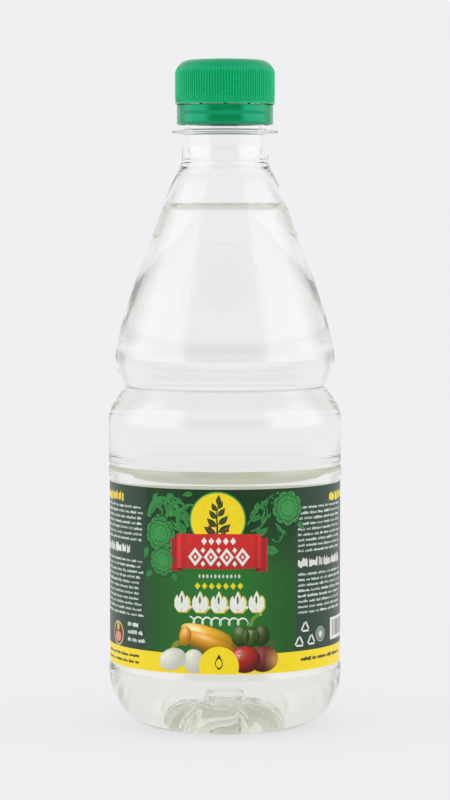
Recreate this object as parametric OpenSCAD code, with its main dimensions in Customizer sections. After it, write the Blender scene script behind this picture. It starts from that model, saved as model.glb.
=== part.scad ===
// Half-litre vinegar bottle: a blown clear plastic bottle with a wrap-around label, filled with
// vinegar and shut with a ribbed screw cap and its tamper-evident band.
// Millimetres. The origin is the middle of the standing ring, +Z points up through the cap.

/* [Body] */
// Diameter of the widest bands above and below the label
body_d = 71.1; // [66:0.1:78]
// Wall thickness of the blown body
wall = 0.42; // [0.3:0.01:0.7]
// Height of the rounded heel
heel_h = 17.6; // [15:0.1:21]
// How far the heel tucks in from the side to the standing ring
heel_w = 14; // [11:0.1:16]
// Width of the flat standing ring
foot_flat = 2; // [1:0.1:3]
// Height of the plain land between the heel and the label panel
lower_land_h = 0.7; // [0.4:0.1:3]
// Height of the plain band above the label panel
upper_band_h = 12.2; // [8:0.1:18]

/* [Base] */
// Height of the pushed-up base
push_h = 9; // [6:0.1:12]
// Diameter of the raised button in the middle of the base
button_d = 9; // [7:0.1:14]
// Height of that button
button_h = 2; // [0.5:0.1:4]
// How far the button's side slopes inwards
button_slope_w = 0.8; // [0.3:0.1:2]
// Wall thickness that the button's side adds
button_side_t = 0.4; // [0.3:0.05:1]
// Wall thickness of the pushed-up base
base_wall = 1.3; // [1:0.05:2]
// Number of radial grooves that stiffen the base
rib_n = 6; // [4:1:10]
// Width of one of those grooves
rib_w = 3; // [2:0.1:3.6]
// Depth of those grooves
rib_depth = 0.5; // [0.4:0.05:0.7]
// Direction of the first groove, in degrees from the front
rib_start_a = 18; // [0:1:60]

/* [Label] */
// Height of the label
label_h = 54.9; // [45:0.1:68]
// Thickness of the label film
label_t = 0.1; // [0.08:0.01:0.15]
// Width of the glued overlap at the back
label_lap_w = 8; // [4:0.5:14]
// How deep the label panel is set into the body
panel_recess = 0.35; // [0.25:0.01:0.8]
// Bare panel below the label
panel_low_margin = 0.3; // [0.2:0.1:3]
// Bare panel above the label
panel_top_margin = 0.3; // [0.2:0.1:3]
// Height of the slope at each end of the panel
panel_step_h = 1.6; // [0.5:0.1:2.4]
// Height of the plain land between the panel and the groove above it
groove_land_h = 2.4; // [0.8:0.1:3]
// Height of the groove above the panel
groove_h = 1.8; // [1:0.1:3]
// Depth of the groove above the panel
groove_depth = 0.3; // [0.1:0.01:0.5]

/* [Shoulder] */
// How deep the waist crease is set into the body
waist_depth = 5.15; // [3:0.05:7]
// Height from the upper band to the waist crease
waist_drop_h = 10.4; // [8:0.1:14]
// How far the bead above the waist is set in from the body
bead_inset = 2; // [0.5:0.1:4]
// Height from the waist crease to the widest part of the bead
bead_rise_h = 8.3; // [6:0.1:11]
// Height from the bead to the foot of the straight cone
dome_h = 28.4; // [22:0.1:34]
// How far the shoulder draws in from the bead to the foot of the cone
dome_inset = 7.85; // [5:0.05:10]
// Height of the straight cone
cone_h = 23.8; // [18:0.1:30]

/* [Neck] */
// Diameter of the screw finish between its threads
finish_d = 24.9; // [20:0.1:30]
// Wall thickness of the screw finish
finish_wall = 1.6; // [1.2:0.05:2.2]
// Height of the screw finish above the support ring's underside
finish_h = 21.1; // [17.5:0.1:26]
// Wall thickness of the neck under the support ring
neck_wall = 1.6; // [1.2:0.05:2.2]
// Height of the plain neck up to the support ring
neck_h = 7.9; // [4:0.1:12]
// How much wider the neck is at its foot than at its top, on each side
neck_spread = 0.85; // [0.2:0.05:1.5]
// Height of the curve from the cone into the neck
flare_h = 8.2; // [6:0.1:12]
// How far the curve spreads outwards on each side
flare_w = 3.5; // [2:0.1:6]
// How far the support ring stands out from the neck
ring_w = 3.75; // [2.8:0.05:5]
// Thickness of the support ring at its rim
ring_t = 0.7; // [0.5:0.1:1.2]
// Thickness of the support ring at its root
ring_root_t = 1.6; // [1.3:0.1:2.4]
// How far the locking bead stands out, which holds the tamper-evident band
lock_depth = 1.55; // [1.2:0.05:1.9]
// Height of the locking bead's underside above the support ring's underside
lock_z = 6.3; // [5.2:0.1:7.6]
// How far the thread stands out
thread_depth = 1.25; // [0.9:0.05:1.3]
// Pitch of the thread
thread_pitch = 3.18; // [2.6:0.01:3.9]
// Gap that each vent slot leaves in the thread, in degrees
vent_a = 14; // [8:1:24]

/* [Cap] */
// Gap between the locking bead and the inside of the cap
cap_gap = 0.15; // [0.1:0.01:0.3]
// Wall thickness of the cap at the roots of its grip ribs
cap_wall = 0.74; // [0.6:0.02:1.2]
// Depth of the grip ribs
grip_depth = 0.3; // [0.2:0.02:0.5]
// Number of grip ribs
grip_n = 112; // [60:4:144]
// Radius of the rounded top edge
cap_round = 4; // [2:0.1:5]
// Thickness of the top plate
cap_top_t = 1.5; // [1:0.1:2.5]
// Height of the skirt's lower edge above the underside of the locking bead
skirt_lift = 2.9; // [2.7:0.1:3.6]
// Height of the plain rim under the ribs
cap_rim_h = 0.5; // [0.3:0.1:1]
// How far that rim stands out past the ribs
cap_rim_w = 0.06; // [0.05:0.01:0.2]

/* [Tamper band] */
// Wall thickness of the band
band_wall = 0.55; // [0.4:0.05:0.7]
// Gap between the support ring and the band
band_gap = 1.45; // [0.4:0.05:1.7]
// Gap between the band and the skirt, which the bridges cross
bridge_h = 0.25; // [0.15:0.05:0.5]
// Number of bridges
bridge_n = 12; // [6:1:16]
// Width of one bridge
bridge_w = 0.9; // [0.5:0.1:1.5]

/* [Vinegar] */
// How far the vinegar's level lies below the support ring
fill_drop = 20.8; // [16:0.1:60]

/* [Hidden] */
$fn = 120;

// Levels, from the standing ring up.
heel_z = heel_h;
step_low_z = heel_z + lower_land_h;
panel_low_z = step_low_z + panel_step_h;
label_low_z = panel_low_z + panel_low_margin;
label_top_z = label_low_z + label_h;
panel_top_z = label_top_z + panel_top_margin;
step_top_z = panel_top_z + panel_step_h;
groove_low_z = step_top_z + groove_land_h;
groove_top_z = groove_low_z + groove_h;
band_top_z = groove_top_z + upper_band_h;
waist_z = band_top_z + waist_drop_h;
bead_z = waist_z + bead_rise_h;
cone_foot_z = bead_z + dome_h;
cone_top_z = cone_foot_z + cone_h;
flare_top_z = cone_top_z + flare_h;
ring_z = flare_top_z + neck_h;
rim_z = ring_z + finish_h;
fill_z = ring_z - fill_drop;

// Radii.
body_r = body_d / 2;
panel_r = body_r - panel_recess;
foot_r = body_r - heel_w;
foot_in_r = foot_r - foot_flat;
button_r = button_d / 2;
waist_r = body_r - waist_depth;
bead_r = body_r - bead_inset;
cone_foot_r = bead_r - dome_inset;
finish_r = finish_d / 2;
bore_r = finish_r - finish_wall;
neck_r = bore_r + neck_wall;
neck_foot_r = neck_r + neck_spread;
cone_top_r = neck_foot_r + flare_w;
ring_r = neck_r + ring_w;
lock_r = finish_r + lock_depth;
thread_r = finish_r + thread_depth;
cap_bore_r = lock_r + cap_gap;
cap_root_r = cap_bore_r + cap_wall;
grip_r = cap_root_r + grip_depth;
cap_r = grip_r + cap_rim_w;
band_r = cap_bore_r + band_wall;

cone_slope = (cone_foot_r - cone_top_r) / cone_h;

// Points of a cubic curve from a to d that leaves towards b and arrives from c.
function curve(a, b, c, d, n) =
    [for (i = [0:n]) let (t = i / n, u = 1 - t) u*u*u*a + 3*u*u*t*b + 3*u*t*t*c + t*t*t*d];

// Points of a quarter ellipse round centre, from straight below it to straight beside it.
function quarter(centre, rx, rz, n) =
    [for (i = [0:n]) let (a = 90 * i / n) centre + [rx * sin(a), -rz * cos(a)]];

// Radius of the arc that leaves its top level and comes down to its foot.
function dome_radius(top, foot) =
    let (d = foot - top) (d[0]*d[0] + d[1]*d[1]) / (-2 * d[1]);

// Points of that arc, from the top to the foot.
function dome(top, foot, n) =
    let (r = dome_radius(top, foot), reach = asin((foot[0] - top[0]) / r))
        [for (i = [0:n]) let (a = reach * i / n) top + [r * sin(a), r * cos(a) - r]];

function unit(v) = v / norm(v);

// The right-hand normal of the edge from a to b, which points out of a wall that is drawn upwards.
function edge_normal(a, b) = let (d = unit(b - a)) [d[1], -d[0]];

// A path moved inwards by t, square to itself.
function inset(path, t) =
    [for (i = [0:len(path) - 1])
        let (
            last = len(path) - 1,
            before = edge_normal(path[max(i, 1) - 1], path[max(i, 1)]),
            after = edge_normal(path[min(i, last - 1)], path[min(i, last - 1) + 1]),
            middle = unit(before + after)
        ) path[i] - middle * t / (middle * before)];

function backwards(path) = [for (i = [len(path) - 1:-1:0]) path[i]];

// A path without its first point, to join it to one that ends there.
function rest(path) = [for (i = [1:len(path) - 1]) path[i]];

// The blown wall from the standing ring to the top of the cone, drawn upwards on the outside.
heel_path = quarter([foot_r, heel_z], heel_w, heel_h, 18);
panel_path = [
    [body_r, step_low_z],
    [panel_r, panel_low_z],
    [panel_r, panel_top_z],
    [body_r, step_top_z],
    [body_r, groove_low_z],
    [body_r - groove_depth, groove_low_z + groove_h / 2],
    [body_r, groove_top_z]
];
waist_path = curve(
    [body_r, band_top_z],
    [body_r, band_top_z + waist_drop_h * 0.46],
    [waist_r + waist_depth * 0.4, waist_z - waist_drop_h * 0.27],
    [waist_r, waist_z], 12);
bead_path = curve(
    [waist_r, waist_z],
    [waist_r + waist_depth * 0.2, waist_z + bead_rise_h * 0.37],
    [bead_r, bead_z - bead_rise_h * 0.49],
    [bead_r, bead_z], 12);
dome_path = curve(
    [bead_r, bead_z],
    [bead_r, bead_z + dome_h * 0.21],
    [cone_foot_r + cone_slope * dome_h * 0.28, cone_foot_z - dome_h * 0.28],
    [cone_foot_r, cone_foot_z], 16);
side_path = concat(heel_path, panel_path, waist_path, rest(bead_path), rest(dome_path),
    [[cone_top_r, cone_top_z]]);

// The cone runs into the neck, where the blown wall thickens into the moulded one.
flare_path = curve(
    [cone_top_r, cone_top_z],
    [cone_top_r - cone_slope * flare_h * 0.5, cone_top_z + flare_h * 0.5],
    [neck_foot_r + 0.2, flare_top_z - flare_h * 0.34],
    [neck_foot_r, flare_top_z], 10);
side_inside_path = inset(side_path, wall);
cone_inside_end = side_inside_path[len(side_path) - 1];
throat_z = flare_top_z + neck_h / 2;
throat_path = curve(
    cone_inside_end,
    [cone_inside_end[0] - cone_slope * flare_h * 0.55, cone_top_z + flare_h * 0.55],
    [bore_r, flare_top_z - flare_h * 0.15],
    [bore_r, throat_z], 12);

// The finish: support ring, locking bead and rim.
ring_slope_h = (ring_root_t - ring_t) / 2;
lock_low_z = ring_z + lock_z;
lock_h = 1;
lock_top_z = lock_low_z + lock_h;
lock_slope_top_z = lock_top_z + lock_depth;
rim_chamfer = 0.4;
finish_path = [
    [neck_r, ring_z],
    [ring_r, ring_z + ring_slope_h],
    [ring_r, ring_z + ring_slope_h + ring_t],
    [finish_r, ring_z + ring_root_t],
    [finish_r, lock_low_z],
    [lock_r, lock_low_z],
    [lock_r, lock_top_z],
    [finish_r, lock_slope_top_z],
    [finish_r, rim_z - rim_chamfer],
    [finish_r - rim_chamfer, rim_z]
];

// The pushed-up base, from the middle outwards: its underside, then the side that meets the vinegar.
push_top = [button_r, push_h];
push_foot = [foot_in_r, 0];
push_inside_top = [button_r + button_side_t, push_h + base_wall];
push_inside_foot = [foot_in_r + foot_flat / 2, wall];
button_up = [0, button_h];
button_in = [button_slope_w, 0];
push_path = concat(
    [[0, push_h] + button_up, push_top - button_in + button_up],
    dome(push_top, push_foot, 12));
push_inside_path = concat(
    [[0, push_h + base_wall] + button_up, push_inside_top - button_in + button_up],
    dome(push_inside_top, push_inside_foot, 12));

outside_path = concat(push_path, side_path, rest(flare_path), finish_path);
inside_path = concat(push_inside_path, side_inside_path, rest(throat_path));

// The threads are stretches of one turn, cut by four vent slots. Each stretch is a flat piece of
// ring that is tipped to the thread's slope.
stretch_n = 7;
stretch_a = 90 - vent_a;
thread_tilt = atan(thread_pitch / (2 * PI * thread_r));
thread_start_a = 45;
thread_lift = 2.2;
thread_first_z = lock_slope_top_z + thread_lift;
thread_bite = 0.3;
thread_root_h = 1.5;
thread_crest_h = 0.7;
cap_thread_gap = 0.75;
cap_thread_root_h = 1.2;
cap_thread_crest_h = 0.5;

// One stretch of thread, which tapers from its root to its crest.
module thread_stretch(root_r, crest_r, root_h, crest_h) {
    rotate([thread_tilt, 0, 0])
        rotate([0, 0, -stretch_a / 2])
            rotate_extrude(angle = stretch_a)
                polygon([
                    [root_r, -root_h / 2],
                    [crest_r, -crest_h / 2],
                    [crest_r, crest_h / 2],
                    [root_r, root_h / 2]
                ]);
}

// All stretches of a thread that starts at the given angle.
module thread(start_a, root_r, crest_r, root_h, crest_h) {
    for (i = [0:stretch_n - 1])
        rotate([0, 0, start_a + 90 * i])
            translate([0, 0, thread_first_z + thread_pitch * i / 4])
                thread_stretch(root_r, crest_r, root_h, crest_h);
}

// Radial grooves under the base. Each is a stretch of a torus that follows the dome's arc.
module base_grooves() {
    dome_r = dome_radius(push_top, push_foot);
    reach = asin((foot_in_r - button_r) / dome_r);
    tube_r = (rib_w * rib_w / 4 + rib_depth * rib_depth) / (2 * rib_depth);
    for (i = [0:rib_n - 1])
        rotate([0, 0, 360 * i / rib_n - 90 + rib_start_a])
            translate([button_r, 0, push_h - dome_r])
                rotate([90, 90 - reach * 0.8, 0])
                    rotate_extrude(angle = reach * 0.65)
                        translate([dome_r + rib_depth - tube_r, 0])
                            circle(r = tube_r);
}

module bottle() {
    color([0.93, 0.95, 0.95, 0.35])
        union() {
            difference() {
                rotate_extrude()
                    polygon(concat(outside_path, [[bore_r, rim_z]], backwards(inside_path)));
                base_grooves();
            }
            thread(thread_start_a, finish_r - thread_bite, thread_r, thread_root_h, thread_crest_h);
        }
}

// The vinegar fills the bottle up to its level and takes the shape of the inside.
module vinegar() {
    color([0.9, 0.91, 0.82, 0.5])
        intersection() {
            rotate_extrude()
                polygon(concat(inside_path, [[0, throat_z]]));
            cylinder(r = body_r, h = fill_z);
        }
}

// The label is one strip of film wrapped once round the panel, with its end lapped over its start.
module label() {
    lap_a = label_lap_w / panel_r * 180 / PI;
    color([0.16, 0.37, 0.24])
        translate([0, 0, label_low_z])
            union() {
                rotate_extrude()
                    translate([panel_r, 0])
                        square([label_t, label_h]);
                rotate([0, 0, 90 - lap_a / 2])
                    rotate_extrude(angle = lap_a)
                        translate([panel_r + label_t / 2, 0])
                            square([label_t * 3 / 2, label_h]);
            }
}

// The skirt starts above the locking bead, and the top plate lies on the rim.
skirt_z = lock_low_z + skirt_lift;
cap_h = rim_z + cap_top_t - skirt_z;

// Outline of the grip ribs: narrow teeth with sloping sides, rooted inside the cap's wall.
grip_bite = 0.2;
grip_root_r = cap_root_r - grip_bite;
grip_tooth = [[0.1, grip_root_r], [0.34, grip_r], [0.66, grip_r], [0.9, grip_root_r]];
grip_outline = [
    for (i = [0:grip_n - 1], corner = grip_tooth)
        let (a = 360 * (i + corner[0]) / grip_n)
            corner[1] * [cos(a), sin(a)]
];

// The ribs run up to the rounded top edge, where a cone slopes them back into the wall.
module grip_ribs() {
    ribs_h = cap_h - cap_round;
    intersection() {
        linear_extrude(ribs_h)
            polygon(grip_outline);
        rotate_extrude()
            polygon([[0, 0], [cap_r, 0], [cap_r, ribs_h - 1],
                [grip_root_r - 0.1, ribs_h - 0.1], [0, ribs_h - 0.1]]);
    }
}

// The smooth wall and top plate inside the ribs.
module cap_wall_and_top() {
    rotate_extrude()
        union() {
            square([cap_root_r, cap_h - cap_round]);
            square([cap_root_r - cap_round, cap_h]);
            translate([cap_root_r - cap_round, cap_h - cap_round])
                intersection() {
                    circle(r = cap_round);
                    square(cap_round);
                }
        }
}

// The hollow that takes the neck, with a sloping corner outside the neck's rim.
module cap_hollow() {
    hollow_h = cap_h - cap_top_t;
    corner = cap_bore_r - finish_r - cap_gap;
    rotate_extrude()
        polygon([[0, -1], [cap_bore_r, -1], [cap_bore_r, hollow_h - corner],
            [cap_bore_r - corner, hollow_h], [0, hollow_h]]);
}

// The cap's thread is the bottle's turned by half a turn, so each runs midway between the other.
module cap() {
    color([0.05, 0.6, 0.35]) {
        translate([0, 0, skirt_z])
            difference() {
                union() {
                    cap_wall_and_top();
                    grip_ribs();
                    cylinder(r = cap_r, h = cap_rim_h);
                }
                cap_hollow();
            }
        thread(thread_start_a + 180, cap_bore_r + thread_bite, finish_r + cap_thread_gap,
            cap_thread_root_h, cap_thread_crest_h);
    }
}

// The band hangs from the skirt by its bridges, and its inner lip catches under the locking bead.
band_z = ring_z + ring_root_t + band_gap;
band_top = skirt_z - bridge_h;
band_bead_z = (band_z + band_top) / 2;
band_bead_depth = 0.12;
band_bead_h = 0.35;
band_round = 0.2;
lip_reach = 0.6;
lip_drop = 0.4;
lip_r = lock_r - lip_reach;
lip_top_z = lock_low_z - lip_drop;
lip_edge_h = 0.3;
lip_h = 1.6;

module tamper_band() {
    color([0.03, 0.56, 0.33]) {
        rotate_extrude()
            polygon([
                [cap_bore_r, band_z],
                [band_r - band_round, band_z],
                [band_r, band_z + band_round],
                [band_r, band_bead_z - band_bead_h],
                [band_r - band_bead_depth, band_bead_z],
                [band_r, band_bead_z + band_bead_h],
                [band_r, band_top - band_round],
                [band_r - band_round, band_top],
                [cap_bore_r, band_top],
                [cap_bore_r, lip_top_z],
                [lip_r, lip_top_z - lip_edge_h],
                [cap_bore_r, lip_top_z - lip_h]
            ]);
        for (i = [0:bridge_n - 1])
            rotate([0, 0, 360 * i / bridge_n])
                translate([cap_bore_r + 0.1, -bridge_w / 2, band_top - 0.1])
                    cube([band_wall - band_round - 0.1, bridge_w, bridge_h + 0.1]);
    }
}

bottle();
vinegar();
label();
cap();
tamper_band();
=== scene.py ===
import math

import bpy
import numpy as np
from bpy.props import FloatProperty, FloatVectorProperty, IntProperty, PointerProperty
from bpy.types import Operator, Panel, PropertyGroup
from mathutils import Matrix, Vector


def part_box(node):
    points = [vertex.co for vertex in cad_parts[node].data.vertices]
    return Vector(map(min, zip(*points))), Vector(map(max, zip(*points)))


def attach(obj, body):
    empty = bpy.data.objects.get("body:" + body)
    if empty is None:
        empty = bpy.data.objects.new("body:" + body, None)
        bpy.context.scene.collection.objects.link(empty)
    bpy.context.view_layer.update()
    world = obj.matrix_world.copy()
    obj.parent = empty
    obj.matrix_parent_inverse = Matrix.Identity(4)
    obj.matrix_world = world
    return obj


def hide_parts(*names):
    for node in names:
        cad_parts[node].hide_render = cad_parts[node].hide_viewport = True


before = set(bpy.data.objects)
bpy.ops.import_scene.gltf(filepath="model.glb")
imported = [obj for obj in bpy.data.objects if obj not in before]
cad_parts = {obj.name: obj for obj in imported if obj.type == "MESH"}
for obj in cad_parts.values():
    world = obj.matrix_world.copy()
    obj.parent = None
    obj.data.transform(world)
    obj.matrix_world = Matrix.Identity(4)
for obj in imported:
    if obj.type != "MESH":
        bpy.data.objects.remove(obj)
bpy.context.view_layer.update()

bl_info = {
    "name": "Vinegar bottle",
    "version": (1, 0, 0),
    "blender": (4, 5, 0),
    "location": "View3D > Sidebar > Bottle",
    "description": "Builds a clear vinegar bottle with its label, its cap and a small studio",
    "category": "Object",
}

BODY = "root"
TAU = 2 * math.pi
MM = 0.001

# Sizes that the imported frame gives.
BODY_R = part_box("bottle")[1].x
RIM_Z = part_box("bottle")[1].z
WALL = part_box("vinegar")[0].z
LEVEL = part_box("vinegar")[1].z
LABEL_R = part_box("label")[1].x
LABEL_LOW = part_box("label")[0].z
LABEL_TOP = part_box("label")[1].z
CAP_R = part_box("cap")[1].x
SKIRT_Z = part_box("cap")[0].z
CAP_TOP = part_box("cap")[1].z
BAND_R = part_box("tamper_band")[1].x
BAND_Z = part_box("tamper_band")[0].z

# Small sizes of the moulded finish that nobody would change.
LOCK_FLAT = 0.001
THREAD_TURNS = 1.75
THREAD_CLEAR = 0.0022
RIDGE_HALF, RIDGE_FLANK = 0.00075, 0.0004
SLOT_HALF, SLOT_EDGE = math.radians(6), math.radians(2.5)

# The studio.
FLOOR_REACH = 40.0
PANEL_GLOW = 0.8
RIM_SHARE = 0.45
CAMERA_PLACE = (0.0, -0.928, 0.1545)
CAMERA_DOWN = math.radians(3.39)
CAMERA_LENS = 136.7


# ---------------------------------------------------------------------------------------------
# Properties
# ---------------------------------------------------------------------------------------------

def size(name, description, default):
    """A length in metres that a user may change."""
    return FloatProperty(name=name, description=description, default=default, min=0.0,
                         precision=5, subtype="DISTANCE", unit="LENGTH")


def srgb(red, green, blue):
    """Screen values from 0 to 255 as linear light: the usual power curve with its straight foot."""
    screen = np.array([red, green, blue]) / 255
    light = np.where(screen <= 0.04045, screen / 12.92, ((screen + 0.055) / 1.055) ** 2.4)
    return tuple(float(c) for c in light)


def tint(name, description, red, green, blue):
    """A colour that a user may change, given as screen values."""
    return FloatVectorProperty(name=name, description=description, size=3, min=0.0, max=1.0,
                               default=srgb(red, green, blue), subtype="COLOR")


class BottleSizes(PropertyGroup):
    """Heights and widths of the blown bottle, besides those that the frame gives."""
    heel_height: size("Heel height", "Height of the rounded heel", 0.0176)
    heel_width: size("Heel width", "How far the heel tucks in to the standing ring", 0.014)
    foot_flat: size("Foot", "Width of the flat standing ring", 0.002)
    push_height: size("Push-up", "Height of the pushed-up base", 0.009)
    button_radius: size("Button radius", "Radius of the button in the base", 0.0045)
    button_height: size("Button height", "Height of that button", 0.002)
    button_slope: size("Button slope", "How far the button's side slopes inwards", 0.0008)
    button_side: size("Button side", "Wall thickness that the button's side adds", 0.0004)
    base_wall: size("Base wall", "Wall thickness of the pushed-up base", 0.0013)
    lobes: IntProperty(name="Base ribs", description="Number of ribs in the base", default=6, min=3)
    lobe_depth: size("Rib depth", "Depth of the base's ribs", 0.0009)
    lobe_turn: FloatProperty(name="Rib direction", description="Direction of the first rib from the front",
                             default=math.radians(18), subtype="ANGLE", unit="ROTATION")
    panel_recess: size("Panel recess", "How deep the label panel is set in", 0.00035)
    margin_low: size("Low margin", "Bare panel below the label", 0.0003)
    margin_top: size("Top margin", "Bare panel above the label", 0.0003)
    step_height: size("Panel step", "Height of the slope at each end of the panel", 0.0016)
    groove_land: size("Groove land", "Height between the panel and the groove", 0.0024)
    groove_height: size("Groove height", "Height of the groove above the panel", 0.0018)
    groove_depth: size("Groove depth", "Depth of that groove", 0.0003)
    band_height: size("Upper band", "Height of the plain band above the groove", 0.0122)
    waist_depth: size("Waist depth", "How deep the waist crease is set in", 0.00515)
    waist_drop: size("Waist drop", "Height from the band to the crease", 0.0104)
    bead_inset: size("Bead inset", "How far the bead stands in from the body", 0.002)
    bead_rise: size("Bead rise", "Height from the crease to the bead", 0.0083)
    dome_height: size("Shoulder height", "Height from the bead to the cone", 0.0284)
    dome_inset: size("Shoulder inset", "How far the shoulder draws in to the cone", 0.00785)
    cone_height: size("Cone height", "Height of the straight cone", 0.0238)
    flare_height: size("Flare height", "Height of the curve into the neck", 0.0082)
    flare_width: size("Flare width", "How far that curve spreads outwards", 0.0035)
    neck_height: size("Neck height", "Plain neck below the support ring", 0.0079)
    neck_spread: size("Neck spread", "How much wider the neck is at its foot", 0.00085)
    finish_radius: size("Finish radius", "Radius of the finish between its threads", 0.01245)
    finish_wall: size("Finish wall", "Wall thickness of the finish", 0.0016)
    ring_width: size("Support ring", "How far the support ring stands out", 0.00375)
    ring_rim: size("Ring rim", "Thickness of the ring at its rim", 0.0007)
    ring_root: size("Ring root", "Thickness of the ring at its root", 0.0016)
    lock_height: size("Locking bead", "Height of the locking bead above the ring", 0.0063)
    lock_depth: size("Bead depth", "How far the locking bead stands out", 0.00155)
    thread_depth: size("Thread depth", "How far the thread stands out", 0.00125)
    thread_pitch: size("Thread pitch", "Rise of the thread in one turn", 0.00318)
    wave: size("Waviness", "How uneven the blown wall is", 0.00004)
    meniscus: size("Meniscus", "How far the vinegar climbs the wall", 0.0017)
    meniscus_width: size("Meniscus width", "How far from the wall that climb fades", 0.0010)
    overlap: size("Overlap", "How far the vinegar reaches into the wall", 0.00008)


class CapSizes(PropertyGroup):
    """Sizes of the cap and its tamper band."""
    wall: size("Wall", "Wall thickness at the roots of the ribs", 0.00074)
    top: size("Top plate", "Thickness of the top plate", 0.0015)
    edge: size("Rounded edge", "Radius of the rounded top edge", 0.004)
    ribs: IntProperty(name="Ribs", description="Number of grip ribs", default=112, min=12)
    rib_depth: size("Rib depth", "Depth of the grip ribs", 0.0003)
    rim_height: size("Rim height", "Height of the plain rim under the ribs", 0.0005)
    rim_width: size("Rim width", "How far the rim stands out past the ribs", 0.00006)
    hollow_corner: size("Hollow corner", "Slope in the corner of the hollow", 0.0016)
    band_wall: size("Band wall", "Wall thickness of the tamper band", 0.00055)
    band_bead: size("Band bead", "Depth of the line round the tamper band", 0.00012)
    bridges: IntProperty(name="Bridges", description="Number of bridges", default=12, min=1)
    bridge_height: size("Bridge height", "Gap that the bridges cross", 0.00025)
    bridge_width: size("Bridge width", "Width of one bridge", 0.0009)


class LabelSizes(PropertyGroup):
    """Sizes of the label film and its print."""
    film: size("Film", "Thickness of the film", 0.0001)
    lap: size("Lap", "Width of the glued overlap at the back", 0.008)
    ink: size("Ink step", "Height of one layer of print", 0.000007)
    yellow_band: size("Yellow band", "Height of the yellow band", 0.0059)


class Colours(PropertyGroup):
    """Colours of the plastics, the vinegar and the print."""
    cap: tint("Cap", "Green of the cap", 0, 176, 88)
    vinegar: tint("Vinegar", "What a clear view through much vinegar looks like", 226, 226, 196)
    ground_dark: tint("Ground, dark", "Dark green of the label", 8, 56, 18)
    ground_light: tint("Ground, light", "Lighter green in the middle", 38, 118, 40)
    ground_side: tint("Ground, sides", "Green of the text panels", 36, 65, 48)
    backing: tint("Backing", "Inside of the film", 226, 228, 208)
    yellow: tint("Yellow", "Yellow of the band and discs", 250, 222, 30)
    red: tint("Red", "Red of the ribbon", 206, 40, 38)
    white: tint("White", "White of the print", 238, 240, 232)
    leaf: tint("Leaf", "Green of the flowers", 50, 138, 66)
    fine: tint("Fine print", "Grey of the fine print", 190, 203, 193)
    backdrop: tint("Backdrop", "Pale floor and background", 240, 239, 242)


# ---------------------------------------------------------------------------------------------
# Meshes
# ---------------------------------------------------------------------------------------------

def grid_faces(rows, columns, wrap_rows=False, wrap_columns=False):
    """Corner numbers of the four-sided faces of a grid that is stored row by row. A grid that
    wraps joins its last row or column to its first."""
    i = np.arange(rows if wrap_rows else rows - 1)[:, None]
    j = np.arange(columns if wrap_columns else columns - 1)[None, :]
    up, right = (i + 1) % rows, (j + 1) % columns
    corners = (i * columns + j, i * columns + right, up * columns + right, up * columns + j)
    return np.stack([np.broadcast_to(c, (len(i), j.shape[1])) for c in corners], -1).reshape(-1, 4)


def make_piece(name, points, faces, material, smooth=True, colours=None):
    """A mesh object of the points and faces, which stays at the origin. The colours, one for each
    point, go into its attribute Print."""
    mesh = bpy.data.meshes.new(name)
    mesh.from_pydata(points.tolist(), [], faces)
    mesh.polygons.foreach_set("use_smooth", np.full(len(mesh.polygons), smooth))
    if colours is not None:
        layer = mesh.color_attributes.new("Print", "FLOAT_COLOR", "POINT")
        layer.data.foreach_set("color", np.c_[colours, np.ones(len(colours))].ravel())
    for each in material if isinstance(material, (list, tuple)) else [material]:
        mesh.materials.append(each)
    mesh.update()
    piece = bpy.data.objects.new(name, mesh)
    bpy.context.scene.collection.objects.link(piece)
    return piece


def revolved(radius, height, turns):
    """Points and faces of a surface of revolution. radius and height hold one row for each point
    of the outline and one column for each direction: a point is radius times (cos, sin) of its
    direction, at height. A first or last row on the axis becomes a single pole."""
    angle = np.arange(turns) * TAU / turns
    rows = radius.shape[0]
    points = np.stack([radius * np.cos(angle), radius * np.sin(angle), height], -1)
    start_pole, end_pole = radius[0].max() < 1e-9, radius[-1].max() < 1e-9
    first, last = int(start_pole), rows - int(end_pole)
    body = points[first:last].reshape(-1, 3)
    faces = grid_faces(last - first, turns, wrap_columns=True).tolist()
    column = np.arange(turns)
    after = (column + 1) % turns
    if start_pole:
        body = np.vstack([body, points[0].mean(0)])
        pole = np.full(turns, len(body) - 1)
        faces += np.c_[pole, after, column].tolist()
    if end_pole:
        body = np.vstack([body, points[-1].mean(0)])
        pole = np.full(turns, len(body) - 1)
        row = (last - first - 1) * turns
        faces += np.c_[pole, row + column, row + after].tolist()
    return body, faces


# ---------------------------------------------------------------------------------------------
# Outlines, as rows of (radius, height)
# ---------------------------------------------------------------------------------------------

def cubic(a, b, c, d, count=24):
    """The cubic curve from a to d that leaves towards b and arrives from c."""
    t = np.linspace(0, 1, count)[:, None]
    a, b, c, d = (np.array(p, float) for p in (a, b, c, d))
    return (1 - t) ** 3 * a + 3 * (1 - t) ** 2 * t * b + 3 * (1 - t) * t * t * c + t ** 3 * d


def ramp(a, b, count=12):
    """From a to b, with the radius easing as half a cosine wave while the height changes evenly."""
    t = np.linspace(0, 1, count)
    ease = (1 - np.cos(math.pi * t)) / 2
    return np.c_[a[0] + (b[0] - a[0]) * ease, a[1] + (b[1] - a[1]) * t]


def domed(top, foot, count=28):
    """The arc that leaves its top level and comes down to its foot."""
    dx, dz = foot[0] - top[0], foot[1] - top[1]
    radius = (dx * dx + dz * dz) / (-2 * dz)
    t = np.linspace(0, math.asin(dx / radius), count)
    return np.c_[top[0] + radius * np.sin(t), top[1] + radius * np.cos(t) - radius]


def evenly(path, step):
    """The path with its points spaced evenly, about a step apart."""
    length = np.r_[0, np.cumsum(np.hypot(*np.diff(path, axis=0).T))]
    keep = np.r_[True, np.diff(length) > 0]
    spots = np.linspace(0, length[-1], max(4, int(length[-1] / step) + 1))
    return np.c_[[np.interp(spots, length[keep], path[keep, k]) for k in (0, 1)]].T


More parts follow.
